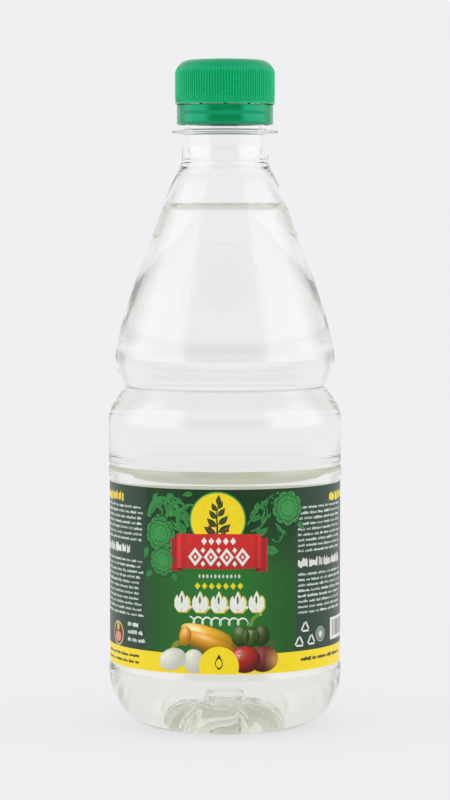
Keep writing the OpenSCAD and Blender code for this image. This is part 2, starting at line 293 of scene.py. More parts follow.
def softened(path, width, step=0.00008):
    """The path with its corners rounded: a running average under a bell curve of that width. The
    ends are carried on by turning the path about them, so they stay where they are."""
    path = evenly(path, step)
    reach = int(3 * width / step)
    bell = np.exp(-0.5 * (np.arange(-reach, reach + 1) * step / width) ** 2)
    bell /= bell.sum()
    before = 2 * path[0] - path[reach:0:-1]
    after = 2 * path[-1] - path[-2:-reach - 2:-1]
    longer = np.vstack([before, path, after])
    return np.c_[[np.convolve(longer[:, k], bell, "valid") for k in (0, 1)]].T


def thinned(path, longest, sharpest):
    """Fewer points of a dense path: close together where it bends, far apart where it is straight."""
    run = np.diff(path, axis=0)
    length = np.hypot(*run.T)
    heading = np.unwrap(np.arctan2(run[:, 1], run[:, 0]))
    bend = np.r_[0, np.abs(np.diff(heading))]
    share = np.r_[0, np.cumsum(length / longest + bend / math.radians(sharpest))]
    spots = np.linspace(0, share[-1], int(share[-1]) + 2)
    return np.c_[[np.interp(spots, share, path[:, k]) for k in (0, 1)]].T


def moved_in(path, distance):
    """The path moved to its left by the distance, square to itself."""
    run = np.gradient(path, axis=0)
    run /= np.hypot(*run.T)[:, None]
    return path + distance * np.c_[-run[:, 1], run[:, 0]]


def side_outline(b):
    """The blown side from the standing ring up to the top of the cone."""
    foot = BODY_R - b.heel_width
    panel = BODY_R - b.panel_recess
    waist = BODY_R - b.waist_depth
    bead = BODY_R - b.bead_inset
    cone_foot = bead - b.dome_inset
    cone_top = b.finish_radius + b.neck_spread + b.flare_width
    quarter = np.linspace(0, math.pi / 2, 40)
    heel = np.c_[foot + b.heel_width * np.sin(quarter), b.heel_height * (1 - np.cos(quarter))]
    panel_low, panel_top = LABEL_LOW - b.margin_low, LABEL_TOP + b.margin_top
    step_top = panel_top + b.step_height
    groove_low = step_top + b.groove_land
    groove_mid = (BODY_R - b.groove_depth, groove_low + b.groove_height / 2)
    band_low = groove_low + b.groove_height
    band_top = band_low + b.band_height
    waist_z = band_top + b.waist_drop
    bead_z = waist_z + b.bead_rise
    cone_z = bead_z + b.dome_height
    slope = (cone_foot - cone_top) / b.cone_height
    return np.vstack([
        heel,
        [(BODY_R, panel_low - b.step_height), (panel, panel_low), (panel, panel_top), (BODY_R, step_top)],
        ramp((BODY_R, groove_low), groove_mid),
        ramp(groove_mid, (BODY_R, band_low)),
        cubic((BODY_R, band_top), (BODY_R, band_top + b.waist_drop * 0.46),
              (waist + b.waist_depth * 0.4, waist_z - b.waist_drop * 0.27), (waist, waist_z)),
        cubic((waist, waist_z), (waist + b.waist_depth * 0.2, waist_z + b.bead_rise * 0.37),
              (bead, bead_z - b.bead_rise * 0.49), (bead, bead_z)),
        cubic((bead, bead_z), (bead, bead_z + b.dome_height * 0.21),
              (cone_foot + slope * b.dome_height * 0.28, cone_z - b.dome_height * 0.28),
              (cone_foot, cone_z)),
        [(cone_top, cone_z + b.cone_height)],
    ]), slope


def bottle_outlines(b):
    """The outside, from the middle of the base up to the rim, and the inside, from the middle of
    the base up to the rim."""
    side, slope = side_outline(b)
    ring_z = side[-1, 1] + b.flare_height + b.neck_height
    flare_z = side[-1, 1] + b.flare_height
    bore = b.finish_radius - b.finish_wall
    neck_foot = b.finish_radius + b.neck_spread
    foot_in = side[0, 0] - b.foot_flat
    button = b.button_radius
    under = np.vstack([[(0, b.push_height + b.button_height),
                        (button - b.button_slope, b.push_height + b.button_height)],
                       domed((button, b.push_height), (foot_in, 0))])
    flare = cubic(side[-1], side[-1] + (-slope * b.flare_height / 2, b.flare_height / 2),
                  (neck_foot + 0.0002, flare_z - b.flare_height * 0.34), (neck_foot, flare_z))
    ring_r = b.finish_radius + b.ring_width
    lip = (b.ring_root - b.ring_rim) / 2
    lock = ring_z + b.lock_height
    lock_r = b.finish_radius + b.lock_depth
    finish = [
        (b.finish_radius, ring_z), (ring_r, ring_z + lip), (ring_r, ring_z + lip + b.ring_rim),
        (b.finish_radius, ring_z + b.ring_root), (b.finish_radius, lock), (lock_r, lock),
        (lock_r, lock + LOCK_FLAT), (b.finish_radius, lock + LOCK_FLAT + b.lock_depth),
        (b.finish_radius, RIM_Z - 0.0004), (b.finish_radius - 0.0004, RIM_Z), (bore + 0.0003, RIM_Z),
    ]
    outside = np.vstack([under, side, flare[1:], finish])
    inner_side = moved_in(softened(side, 0.0002), WALL)
    end = inner_side[-1]
    throat = cubic(end, end + (-slope * b.flare_height * 0.55, b.flare_height * 0.55),
                   (bore, flare_z - b.flare_height * 0.15), (bore, flare_z + b.neck_height / 2))
    floor = b.push_height + b.base_wall
    inner_foot = (foot_in + b.foot_flat / 2, WALL)
    button += b.button_side
    inside = np.vstack([[(0, floor + b.button_height), (button - b.button_slope, floor + b.button_height)],
                        domed((button, floor), inner_foot), inner_side[2:], throat[1:],
                        [(bore, RIM_Z - 0.0003), (bore + 0.0003, RIM_Z)]])
    return softened(outside, 0.00018), softened(inside, 0.00018)


def base_ribs(b, radius, height, angle):
    """Lift of the base's ribs: a rounded wave round the axis that fades out at the button and at
    the standing ring."""
    foot_in = BODY_R - b.heel_width - b.foot_flat
    across = np.clip((radius - b.button_radius - 0.0005) / (foot_in - b.button_radius - 0.0015), 0, 1)
    window = np.sin(math.pi * across) ** 1.5 * (height < b.push_height + b.base_wall + 0.001)
    crest = np.exp(4 * (np.cos(b.lobes * (angle + TAU / 4 - b.lobe_turn)) - 1))
    return b.lobe_depth * window * crest


def blown_waves(b, height, angle, seed):
    """How the blown wall swells and thins: a sum of slow waves round and up the bottle, which
    is strongest in the heel and fades out on the label panel, at the foot and in the moulded neck."""
    draw = np.random.default_rng(seed)
    total = 0
    for _ in range(7):
        around, up, phase = draw.integers(1, 6), draw.uniform(-90, 90), draw.uniform(0, TAU)
        total = total + draw.uniform(0.3, 1) * np.sin(around * angle + up * height + phase)
    panel_low, panel_top = LABEL_LOW - 0.003, LABEL_TOP + 0.003
    off_panel = np.clip((panel_low - height) / 0.004, 0, 1) + np.clip((height - panel_top) / 0.004, 0, 1)
    ends = np.clip(height / 0.004, 0, 1) * np.clip((0.176 - height) / 0.008, 0, 1)
    heel = 1 + 2.5 * np.exp(-((height - b.heel_height / 2) / 0.005) ** 2)
    return b.wave * 0.5 * total * off_panel * ends * heel


def thread_relief(b, height, angle):
    """Relief of the screw thread: one and three quarter turns of a ridge with sloping flanks,
    whose height above the first turn grows by the pitch in each turn, cut by four vent slots."""
    first = lock_top(b) + THREAD_CLEAR
    relief = np.zeros(np.broadcast(height, angle).shape)
    slot = np.abs((angle + TAU / 8) % (TAU / 4) - TAU / 8)
    ridge = np.clip((slot - SLOT_HALF) / SLOT_EDGE, 0, 1)
    for turn in (0, 1):
        run = angle % TAU + TAU * turn
        middle = first + b.thread_pitch * (run / TAU - 0.125)
        flank = np.clip((RIDGE_HALF - np.abs(height - middle)) / RIDGE_FLANK, 0, 1)
        relief = np.maximum(relief, flank * ridge * (run < THREAD_TURNS * TAU))
    return b.thread_depth * relief


def lock_top(b):
    """Height at which the locking bead's slope ends."""
    return ring_height(b) + b.lock_height + LOCK_FLAT + b.lock_depth


def waist_height(b):
    """Height of the waist crease."""
    return (LABEL_TOP + b.margin_top + b.step_height + b.groove_land + b.groove_height + b.band_height
            + b.waist_drop)


def ring_height(b):
    """Height of the underside of the support ring."""
    return waist_height(b) + b.bead_rise + b.dome_height + b.cone_height + b.flare_height + b.neck_height


def bottle_mesh(b, turns=240):
    """The whole shell as one closed surface: the outside up to the rim, then the inside down."""
    outside, inside = bottle_outlines(b)
    ring_z = ring_height(b)
    lower = thinned(outside[outside[:, 1] <= ring_z + 0.002], 0.0032, 9)
    finish = evenly(outside[outside[:, 1] > ring_z + 0.002], 0.00036)
    outer = np.vstack([lower, finish])
    inner = thinned(inside, 0.004, 11)[::-1][1:]
    angle = np.arange(turns)[None, :] * TAU / turns
    r, z = outer[:, :1] + 0 * angle, outer[:, 1:] + 0 * angle
    on_base = (np.arange(len(r)) < len(lower))[:, None]
    lift = base_ribs(b, r, z, angle) * on_base
    far = (r > BODY_R - b.heel_width - b.foot_flat)
    r = r + blown_waves(b, z, angle, 3) * far
    threads = thread_relief(b, z, angle) * (z > ring_z + 0.008) * (z < RIM_Z - 0.001) * ~on_base
    r = r + threads
    z = z + lift * ~far
    ri, zi = inner[:, :1] + 0 * angle, inner[:, 1:] + 0 * angle
    lift = base_ribs(b, ri, zi, angle)
    far = (ri > BODY_R - b.heel_width - b.foot_flat / 2)
    ri = ri + blown_waves(b, zi, angle, 8) * far
    zi = zi + lift * ~far
    return revolved(np.vstack([r, ri]), np.vstack([z, zi]), turns)


def vinegar_mesh(b, turns=200):
    """The vinegar: the inside of the bottle moved a little into the wall, up to where the level
    climbs the wall, then the level itself, which sinks away from the wall as a fading curve."""
    _, inside = bottle_outlines(b)
    shell = moved_in(inside, -b.overlap)
    shell[0, 0] = 0
    shell = shell[: np.argmax(shell[:, 1] > LEVEL)]
    shell = thinned(shell, 0.004, 10)
    contact = inside[np.argmax(inside[:, 1] > LEVEL), 0]
    inward = contact * (1 - np.linspace(0, 1, 30) ** 1.6)
    level = np.c_[inward, LEVEL - b.meniscus * (1 - np.exp((inward - contact) / b.meniscus_width))]
    angle = np.arange(turns)[None, :] * TAU / turns
    r, z = shell[:, :1] + 0 * angle, shell[:, 1:] + 0 * angle
    lift = base_ribs(b, r, z, angle)
    far = (r > BODY_R - b.heel_width - b.foot_flat / 2)
    waves = blown_waves(b, z, angle, 8) * far
    rl, zl = level[:, :1] + 0 * angle, level[:, 1:] + 0 * angle
    rl = rl + waves[-1:] * (rl / contact)
    return revolved(np.vstack([r + waves, rl]), np.vstack([z + lift * ~far, zl]), turns)


# ---------------------------------------------------------------------------------------------
# Materials
# ---------------------------------------------------------------------------------------------

def wiring(tree):
    """A short way to add nodes: make(type, input, input, ..., name=setting) gives the first output
    of the new node. An input is a number, a colour, another node's output or None."""
    def make(kind, *inputs, out=0, **settings):
        node = tree.nodes.new(kind)
        for key, value in settings.items():
            setattr(node, key, value)
        for socket, value in zip(node.inputs, inputs):
            if isinstance(value, bpy.types.NodeSocket):
                tree.links.new(value, socket)
            elif value is not None:
                socket.default_value = value
        return node.outputs[out]
    return make


def new_material(name):
    """An empty node material, with its wiring, its shader and its output."""
    material = bpy.data.materials.new(name)
    material.use_nodes = True
    tree = material.node_tree
    tree.nodes.clear()
    shader = tree.nodes.new("ShaderNodeBsdfPrincipled")
    output = tree.nodes.new("ShaderNodeOutputMaterial")
    tree.links.new(shader.outputs[0], output.inputs["Surface"])
    return material, wiring(tree), tree, shader, output


def feed(tree, shader, **inputs):
    """Sets or links inputs of the shader by name, with _ for a blank."""
    for name, value in inputs.items():
        socket = shader.inputs[name.replace("_", " ")]
        if isinstance(value, bpy.types.NodeSocket):
            tree.links.new(value, socket)
        else:
            socket.default_value = value


def opaque(colour):
    """The colour with a full fourth value."""
    return (*colour, 1.0)


def noise(make, scale, detail=2.0, stretch=(1, 1, 1)):
    """Noise over the object, from 0 to 1, stretched along the axes."""
    where = make("ShaderNodeTexCoord", out=3)
    where = make("ShaderNodeVectorMath", where, stretch, operation="MULTIPLY")
    return make("ShaderNodeTexNoise", where, None, scale, detail)


def carried(make, value, low, high, to_low, to_high):
    """The value carried from one range to another, and held at its ends."""
    return make("ShaderNodeMapRange", value, low, high, to_low, to_high)


def eased(make, value, low, high, to_low=0.0, to_high=1.0):
    """The same with a soft start and a soft end."""
    return make("ShaderNodeMapRange", value, low, high, to_low, to_high,
                interpolation_type="SMOOTHSTEP")


def blended(make, share, first, second):
    """A colour on the way from the first to the second."""
    return make("ShaderNodeMix", share, None, None, None, None, None, first, second,
                data_type="RGBA", out=2)


def axes(make, out=3):
    """The x, y and z of a place on the object or, with out 0, of a direction in the world."""
    return make("ShaderNodeSeparateXYZ", make("ShaderNodeTexCoord", out=out)).node.outputs


def sum_of(make, a, b):
    """Two values added and held between 0 and 1."""
    return make("ShaderNodeMath", a, b, operation="ADD", use_clamp=True)


def clear_plastic(crease):
    """Clear blown plastic: glossy, with a faint orange-peel and a little haze. Its colour is darkened
    by painted shade in a thin line along the waist crease, at the height given, and greyed by painted shade
    towards the bottom."""
    material, make, tree, shader, _ = new_material("clear_plastic")
    haze = carried(make, noise(make, 70, 3), 0.35, 0.75, 0.0, 0.035)
    ripple = make("ShaderNodeBump", 0.06, 0.0006, None, noise(make, 190, 1, (1, 1, 0.4)))
    z = axes(make)[2]
    # Painted shade: the colour turns darker and greyer in a thin line along the waist crease.
    off = make("ShaderNodeMath", z, crease, operation="SUBTRACT")
    line = carried(make, make("ShaderNodeMath", off, operation="ABSOLUTE"), 0.0002, 0.0005, 0.0, 1.0)
    clear = blended(make, line, (0.80, 0.81, 0.77, 1), (0.995, 1.0, 0.997, 1))
    # Painted shade: the colour turns greyer towards the bottom, fully below 8 mm.
    low_base_shade = eased(make, z, 0.008, 0.015, 1.0, 0.0)
    clear = blended(make, low_base_shade, clear, (0.945, 0.95, 0.915, 1))
    feed(tree, shader, Base_Color=clear, Roughness=haze, IOR=1.575,
         Specular_Tint=(0.86, 0.86, 0.85, 1), Transmission_Weight=1.0, Normal=ripple)
    return material


def vinegar_liquid(colours):
    """Clear vinegar that takes up a little light, so that it turns pale olive where it is deep. Its
    colour is darkened by painted shade in a soft band just under its level, where the level meets the wall,
    and tinted faintly by random clouds."""
    material, make, tree, shader, output = new_material("vinegar")
    # Painted shade: a soft dark band just under the level.
    level_shade_drop, line_half = 0.0013, 0.0013
    off = make("ShaderNodeMath", axes(make)[2], LEVEL - level_shade_drop, operation="SUBTRACT")
    off = make("ShaderNodeMath", off, operation="ABSOLUTE")
    line = eased(make, off, 0.0002, line_half, 1.0, 0.0)
    cloud = carried(make, noise(make, 25, 1), 0.3, 0.7, 0.0, 0.06)
    cloud_and_level_shade = blended(make, sum_of(make, line, cloud), (1, 1, 1, 1), (0.60, 0.615, 0.54, 1))
    feed(tree, shader, Base_Color=cloud_and_level_shade, Roughness=0.0, IOR=1.34, Transmission_Weight=1.0)
    absorb = make("ShaderNodeVolumeAbsorption", opaque(colours.vinegar), 1.4)
    tree.links.new(absorb, output.inputs["Volume"])
    return material


def green_plastic(colours, name="green_plastic", depth=1.0, rough_low=0.24):
    """Moulded plastic: a soft gloss, with painted light on the crests of the ribs and painted shade in
    their roots, and faint flow marks. A factor below 1 darkens all its green as painted shade.
    """
    material, make, tree, shader, _ = new_material(name)
    where = make("ShaderNodeTexCoord", out=3)
    flat = make("ShaderNodeVectorMath", where, (1, 1, 0), operation="MULTIPLY")
    far = make("ShaderNodeVectorMath", flat, operation="LENGTH", out=1)
    # Painted light and shade: the colour is lighter on the rib crests and darker in their roots.
    crest = carried(make, far, CAP_R - 0.0006, CAP_R - 0.0001, 0.0, 1.0)
    flow = noise(make, 160, 2, (1, 1, 3))
    # dark is the painted shade of the roots and light the painted light of the crests; the factor dims both
    # as painted shade.
    dark = opaque([c * 0.6 * depth for c in colours.cap])
    light = opaque([c * depth for c in colours.cap])
    colour = blended(make, sum_of(make, crest, carried(make, flow, 0.3, 0.7, -0.1, 0.1)), dark, light)
    rough = carried(make, flow, 0.3, 0.7, rough_low, rough_low + 0.06)
    grain = make("ShaderNodeBump", 0.03, 0.0002, None, noise(make, 1600, 2))
    feed(tree, shader, Base_Color=colour, Roughness=rough, IOR=1.74, Specular_IOR_Level=1.0,
         Specular_Tint=(0.07, 1.0, 0.74, 1), Normal=grain, Coat_Weight=0.05, Coat_Roughness=0.16,
         Coat_IOR=1.5)
    return material


def film_gloss(make):
    """Roughness and relief of the film: a satin gloss that is slightly uneven where it is glued."""
    rough = carried(make, noise(make, 60, 3), 0.3, 0.7, 0.30, 0.40)
    buckle = make("ShaderNodeBump", 0.10, 0.0006, None, noise(make, 55, 1, (1, 1, 2)))
    return rough, buckle


def label_ground(colours):
    """The label's green ground: dark at the top and bottom, lighter in the middle of the front,
    and greyer in the panels at the sides."""
    material, make, tree, shader, _ = new_material("label_ground")
    x, y, z = axes(make)
    back = make("ShaderNodeMath", y, -1.0, operation="MULTIPLY")
    turn = make("ShaderNodeMath", x, back, operation="ARCTAN2")
    from_middle = make("ShaderNodeMath", make("ShaderNodeMath", turn, 0.05, operation="ADD"),
                       operation="ABSOLUTE")
    side = carried(make, from_middle, 0.66, 0.71, 0.0, 1.0)
    up = carried(make, z, LABEL_LOW + 0.030, LABEL_LOW + 0.044, 1.0, 0.0)
    near = carried(make, from_middle, 0.15, 0.62, 1.0, 0.35)
    glow = make("ShaderNodeMath", up, near, operation="MULTIPLY")
    ground = blended(make, glow, opaque(colours.ground_dark), opaque(colours.ground_light))
    colour = blended(make, side, ground, opaque(colours.ground_side))
    rough, buckle = film_gloss(make)
    feed(tree, shader, Base_Color=colour, Roughness=rough, IOR=1.5, Specular_IOR_Level=0.3, Normal=buckle)
    return material


def label_backing(colours):
    """The inside of the film, where the print shows through faintly. It glows in its own colour: painted
    light for light shining through the film.
    """
    material, make, tree, shader, _ = new_material("label_backing")
    stain = carried(make, noise(make, 90, 3), 0.3, 0.7, 0.85, 1.1)
    colour = make("ShaderNodeVectorMath", colours.backing, None, None, stain, operation="SCALE")
    # Painted light: the inside of the film glows at 0.52 in its own colour.
    feed(tree, shader, Base_Color=colour, Roughness=0.5, Emission_Color=opaque(colours.backing),
         Emission_Strength=0.52)
    return material


def label_ink():
    """Print on the film: its colour is the piece's own, with the film's gloss."""
    material, make, tree, shader, _ = new_material("label_ink")
    ink = make("ShaderNodeAttribute", attribute_name="Print")
    grain = carried(make, noise(make, 900, 2), 0.3, 0.7, 0.96, 1.03)
    colour = make("ShaderNodeVectorMath", ink, None, None, grain, operation="SCALE")
    rough, buckle = film_gloss(make)
    feed(tree, shader, Base_Color=colour, Roughness=rough, IOR=1.5, Specular_IOR_Level=0.3, Normal=buckle)
    return material


# ---------------------------------------------------------------------------------------------
# The label's flat drawing: places are in millimetres, the first to the right of the middle of the
# front and the second above the table
# ---------------------------------------------------------------------------------------------

def film_radius(sizes, angle):
    """Outside radius of the film in a direction from the front: one film, and two where it laps."""
    half = sizes.lap / LABEL_R / 2
    off_back = np.abs(np.abs(angle) - math.pi)
    return LABEL_R + sizes.film * np.clip((half - off_back) / 0.004 + 0.5, 0, 1)


class Drawing:
    """Patches of print, gathered into one piece. A patch is a grid of places with a colour at each
    place, wrapped round the film, with a thickness that sets its layer."""

    def __init__(self, sizes):
        self.sizes = sizes
        self.points, self.faces, self.colours = [], [], []
        self.count = 0

    def patch(self, places, colour, layer):
        """Adds one patch: its face on the film's outside, its back just inside the film and its
        four edges."""
        across, up = np.diff(places, axis=1)[:-1], np.diff(places, axis=0)[:, :-1]
        turned = (across[..., 0] * up[..., 1] - across[..., 1] * up[..., 0]).sum() < 0
        colour = np.broadcast_to(np.asarray(colour, float), places.shape[:2] + (3,))
        if turned:
            places, colour = places[:, ::-1], colour[:, ::-1]
        rows, columns = places.shape[:2]
        angle = places[..., 0] * MM / LABEL_R
        height = np.clip(places[..., 1] * MM, LABEL_LOW, LABEL_TOP)
        for lift in (self.sizes.ink * layer, -0.3 * self.sizes.film):
            radius = film_radius(self.sizes, angle) + lift
            self.points.append(np.stack([radius * np.sin(angle), -radius * np.cos(angle), height],
                                        -1).reshape(-1, 3))
            self.colours.append(colour.reshape(-1, 3))
        front = grid_faces(rows, columns)
        number = np.arange(rows * columns).reshape(rows, columns)
        edge = np.r_[number[0, :-1], number[:-1, -1], number[-1, :0:-1], number[:0:-1, 0]]
        after = np.roll(edge, -1)
        under = rows * columns
        sides = np.c_[edge + under, after + under, after, edge]
        self.faces.append(np.vstack([front, front[:, ::-1] + under, sides]) + self.count)
        self.count += 2 * under

    def between(self, lower, upper, colour, layer, across=1):
        """A patch ruled between two edges with as many points each."""
        t = np.linspace(0, 1, across + 1)[:, None, None]
        places = (1 - t) * np.asarray(lower, float) + t * np.asarray(upper, float)
        self.patch(places, colour(places) if callable(colour) else colour, layer)

    def box(self, left, low, right, top, colour, layer):
        """An upright rectangle."""
        s = np.linspace(left, right, max(2, int(abs(right - left) / 0.9) + 2))
        self.between(np.c_[s, 0 * s + low], np.c_[s, 0 * s + top], colour, layer)

    def blob(self, at, half_width, half_height, colour, layer, turn=0.0, square=2.0, fine=18):
        """A rounded shape: a superellipse, drawn as strips from its left end to its right end. A
        colour may be a function of the place inside the unit circle."""
        t = np.linspace(0, 1, fine)
        a = -np.cos(math.pi * t)
        h = np.maximum(1 - np.abs(a) ** square, 0) ** (1 / square)
        h = np.maximum(h, 0.04)
        v = np.linspace(-1, 1, max(3, fine // 2 + 1))[:, None]
        inner = np.stack([np.broadcast_to(a, (len(v), fine)), v * h], -1)
        c, s = math.cos(turn), math.sin(turn)
        x, y = inner[..., 0] * half_width, inner[..., 1] * half_height
        places = np.stack([at[0] + c * x - s * y, at[1] + s * x + c * y], -1)
        self.patch(places, colour(inner) if callable(colour) else colour, layer)

    def stroke(self, path, width, colour, layer):
        """A line of changing width along a path of places."""
        run = np.gradient(path, axis=0)
        run /= np.maximum(np.hypot(*run.T), 1e-9)[:, None]
        side = np.c_[-run[:, 1], run[:, 0]] * (np.asarray(width) * np.ones(len(path)) / 2)[:, None]
        self.between(path - side, path + side, colour, layer)

    def leaf(self, at, heading, length, width, colour, layer, bend=0.0, vein=None):
        """A leaf along a bent midrib: its half width grows and shrinks as a sine, soonest near
        the stalk."""
        t = np.linspace(0, 1, 14)
        turn = math.radians(heading) + bend * t
        rib = np.array(at) + np.c_[np.cumsum(np.cos(turn)), np.cumsum(np.sin(turn))] * length / 14
        half = width / 2 * np.maximum(np.sin(math.pi * t ** 0.8), 0.05)
        side = np.c_[-np.sin(turn), np.cos(turn)] * half[:, None]
        self.between(rib - side, rib + side, colour, layer, across=2)
        if vein is not None:
            self.stroke(rib[1:-2], 0.14, vein, layer + 1)

    def ring(self, at, radius, width, colour, layer, start=0.0, sweep=360.0):
        """A line round part of a circle."""
        t = np.radians(start + sweep * np.linspace(0, 1, max(12, int(sweep / 9))))
        self.stroke(np.c_[at[0] + radius * np.cos(t), at[1] + radius * np.sin(t)], width, colour, layer)

    def piece(self, name, material):
        """The gathered patches as one piece."""
        return make_piece(name, np.vstack(self.points), np.vstack(self.faces).tolist(), material,
                          smooth=False, colours=np.vstack(self.colours))


def shaded(colour, dark=0.45, light=0.35, shine=0.0, at=(-0.35, 0.45), sharp=14.0):
    """A colour that is rounded like a ball: light falls on it from the upper left, it darkens
    towards its far edge, and a shine sits at one place inside it."""
    base = np.array(colour)

    def paint(inner):
        a, b = inner[..., 0], inner[..., 1]
        depth = np.sqrt(np.maximum(1 - a * a - b * b, 0))
        lit = (-0.45 * a + 0.55 * b + 0.7 * depth)[..., None]
        shown = base * (1 - dark * np.clip(1 - lit, 0, 1)) + light * base * np.clip(lit - 0.55, 0, 1)
        glint = np.exp(-sharp * ((a - at[0]) ** 2 + (b - at[1]) ** 2))[..., None]
        return np.clip(shown + shine * glint, 0, 1)
    return paint


def curl(at, heading, length, bend, tighten, count=40):
    """A path whose heading turns faster and faster: the bend is added evenly, and the tightening
    with the square of the way along it. Angles are in degrees."""
    t = np.linspace(0, 1, count)
    turn = np.radians(heading + bend * t + tighten * t * t)
    step = length / count
    return np.array(at) + np.c_[np.cumsum(np.cos(turn)), np.cumsum(np.sin(turn))] * step


def scallop(d, at, radius, petals, colour, layer, turn=0.0):
    """A flat flower head: a disc whose edge swells out into rounded petals as the square root of a
    sine wave, and whose colour brightens outwards."""
    angle = np.linspace(0, TAU, 8 * petals + 1)
    edge = 0.84 + 0.16 * np.sqrt(np.abs(np.sin(petals * angle / 2)))
    share = np.array([0.02, 0.4, 0.75, 1.0])[:, None]
    places = np.stack([at[0] + radius * share * edge * np.cos(angle + turn),
                       at[1] + radius * share * edge * np.sin(angle + turn)], -1)
    tone = (0.78 + 0.34 * share)[..., None] * np.ones((1, len(angle), 1))
    d.patch(places, np.clip(np.array(colour) * tone, 0, 1), layer)


def bloom(d, at, radius, colours, layer, turn=0.0):
    """A folk flower: scalloped heads inside one another, each with a darker line round it and a
    fan of fine veins."""
    leaf, line = np.array(colours.leaf), np.array(colours.ground_dark) * 0.9
    for share, petals, tone, shift in ((1.0, 9, 0.95, 0.0), (0.74, 8, 1.08, 0.3), (0.48, 6, 1.2, 0.1),
                                       (0.22, 5, 1.3, 0.5)):
        scallop(d, at, radius * share * 1.07, petals, line, layer, turn + shift)
        scallop(d, at, radius * share, petals, leaf * tone, layer + 1, turn + shift)
        if share > 0.3:
            for k in range(petals):
                angle = TAU * (k + 0.5) / petals + turn + shift
                way = np.array([math.cos(angle), math.sin(angle)])
                path = np.array(at) + radius * share * np.linspace(0.76, 0.93, 4)[:, None] * way
                d.stroke(path, 0.16, line, layer + 2)
        layer += 3


def frond(d, at, heading, length, bend, tighten, width, colour, dark, leaves=4):
    """A scroll that tapers into a curl, with leaves that grow from it on both sides in turn."""
    path = curl(at, heading, length, bend, tighten)
    along = np.linspace(0, 1, len(path))
    d.stroke(path, width * (1 - 0.7 * along ** 2), colour, 3)
    d.blob(path[-1], width * 0.75, width * 0.7, np.array(colour) * 1.2, 4, fine=8)
    for k in range(leaves):
        i = int(len(path) * (0.12 + 0.62 * k / max(leaves, 1)))
        run = path[i + 1] - path[i]
        side = 1 if k % 2 else -1
        aim = math.degrees(math.atan2(run[1], run[0])) + 42 * side
        grow = length * (0.26 - 0.035 * k)
        d.leaf(path[i], aim, grow, grow * 0.42, np.array(colour) * (1.12 if k % 2 else 0.92), 4,
               bend=-0.8 * side, vein=dark)


def flowers_and_scrolls(d, colours):
    """The flowers at both sides and the scrolls along the top."""
    leaf = np.array(colours.leaf)
    dark = leaf * 0.4
    bloom(d, (-20.4, 61.6), 5.2, colours, 7, 0.3)
    bloom(d, (-19.4, 53.6), 4.6, colours, 7, 1.0)
    bloom(d, (19.6, 69.2), 5.2, colours, 7, 0.2)
    fronds = (((-24.6, 66.0), 84, 15, -62, -140, 1.5, 3), ((-22.6, 68.6), 60, 13, -50, -150, 0.8, 2),
              ((-10.4, 59.6), 148, 19, -95, -120, 1.2, 5), ((-11.0, 63.5), 108, 15, 55, 190, 1.1, 4),
              ((-16.0, 66.8), 150, 12, -95, -190, 0.9, 3), ((-24.6, 66.4), 72, 10, -40, -220, 0.9, 3),
              ((-12.2, 70.4), 150, 9, 40, 200, 0.8, 3), ((-9.6, 62.6), 100, 11, 45, 40, 0.6, 3),
              ((6.4, 64.4), 52, 14, 30, -70, 0.5, 3), ((7.4, 66.4), 78, 10, -50, -240, 0.45, 2),
              ((9.4, 66.0), 22, 9, 60, 230, 0.45, 2), ((7.4, 62.6), 12, 12, 70, 60, 0.5, 3),
              ((12.5, 70.0), 100, 6, -60, -200, 0.4, 0), ((15.2, 64.8), -30, 9, -40, -160, 0.5, 3))
    for at, heading, length, bend, tighten, width, leaves in fronds:
        frond(d, at, heading, length, bend, tighten, width, leaf, dark, leaves)
    sprays = (((9.2, 61.4), 18, 4.6, 1.9), ((12.2, 57.8), -32, 4.6, 2.7), ((13.4, 56.2), 100, 2.8, 1.3),
              ((-24.8, 57.4), 235, 3.8, 1.9), ((-23.0, 50.2), 200, 3.4, 1.7),
              ((-16.2, 50.2), -70, 3.0, 1.5), ((-9.4, 73.6), 172, 3.6, 1.5), ((23.8, 65.4), -70, 3.8, 1.8))
    for at, heading, length, width in sprays:
        d.leaf(at, heading, length, width, leaf, 4, bend=0.5, vein=dark)


def sprig_disc(d, colours):
    """The yellow disc at the top, with a dark bay sprig in it."""
    centre, radius = (-2.2, 66.1), 8.0
    d.blob(centre, radius + 0.45, radius + 0.45, np.array(colours.leaf) * 1.3, 5, fine=40)
    d.blob(centre, radius, radius, colours.yellow, 6, fine=40)
    sprig, vein = np.array(srgb(44, 56, 28)), np.array(srgb(120, 130, 52))
    stem = cubic((-2.6, 60.5), (-1.6, 63.5), (-3.2, 68), (-1.8, 70.5), 24)
    d.stroke(stem, np.linspace(0.7, 0.25, 24), sprig, 7)
    for k in range(4):
        root = stem[3 + 5 * k]
        length = 4.6 - 0.55 * k
        d.leaf(root, 158 - 9 * k, length, 1.9 - 0.15 * k, sprig, 8, bend=-0.35, vein=vein)
        d.leaf(root + (0.1, 0.7), 22 + 9 * k, length, 1.9 - 0.15 * k, sprig, 8, bend=0.35, vein=vein)
    d.leaf(stem[-2], 88, 3.4, 1.5, sprig, 8, vein=vein)
    for at in ((-4.6, 63.9), (0.6, 63.1), (-0.4, 62.1)):
        d.blob(at, 0.62, 0.62, shaded(srgb(120, 36, 30), 0.5, 0.4, 0.3), 9, fine=12)


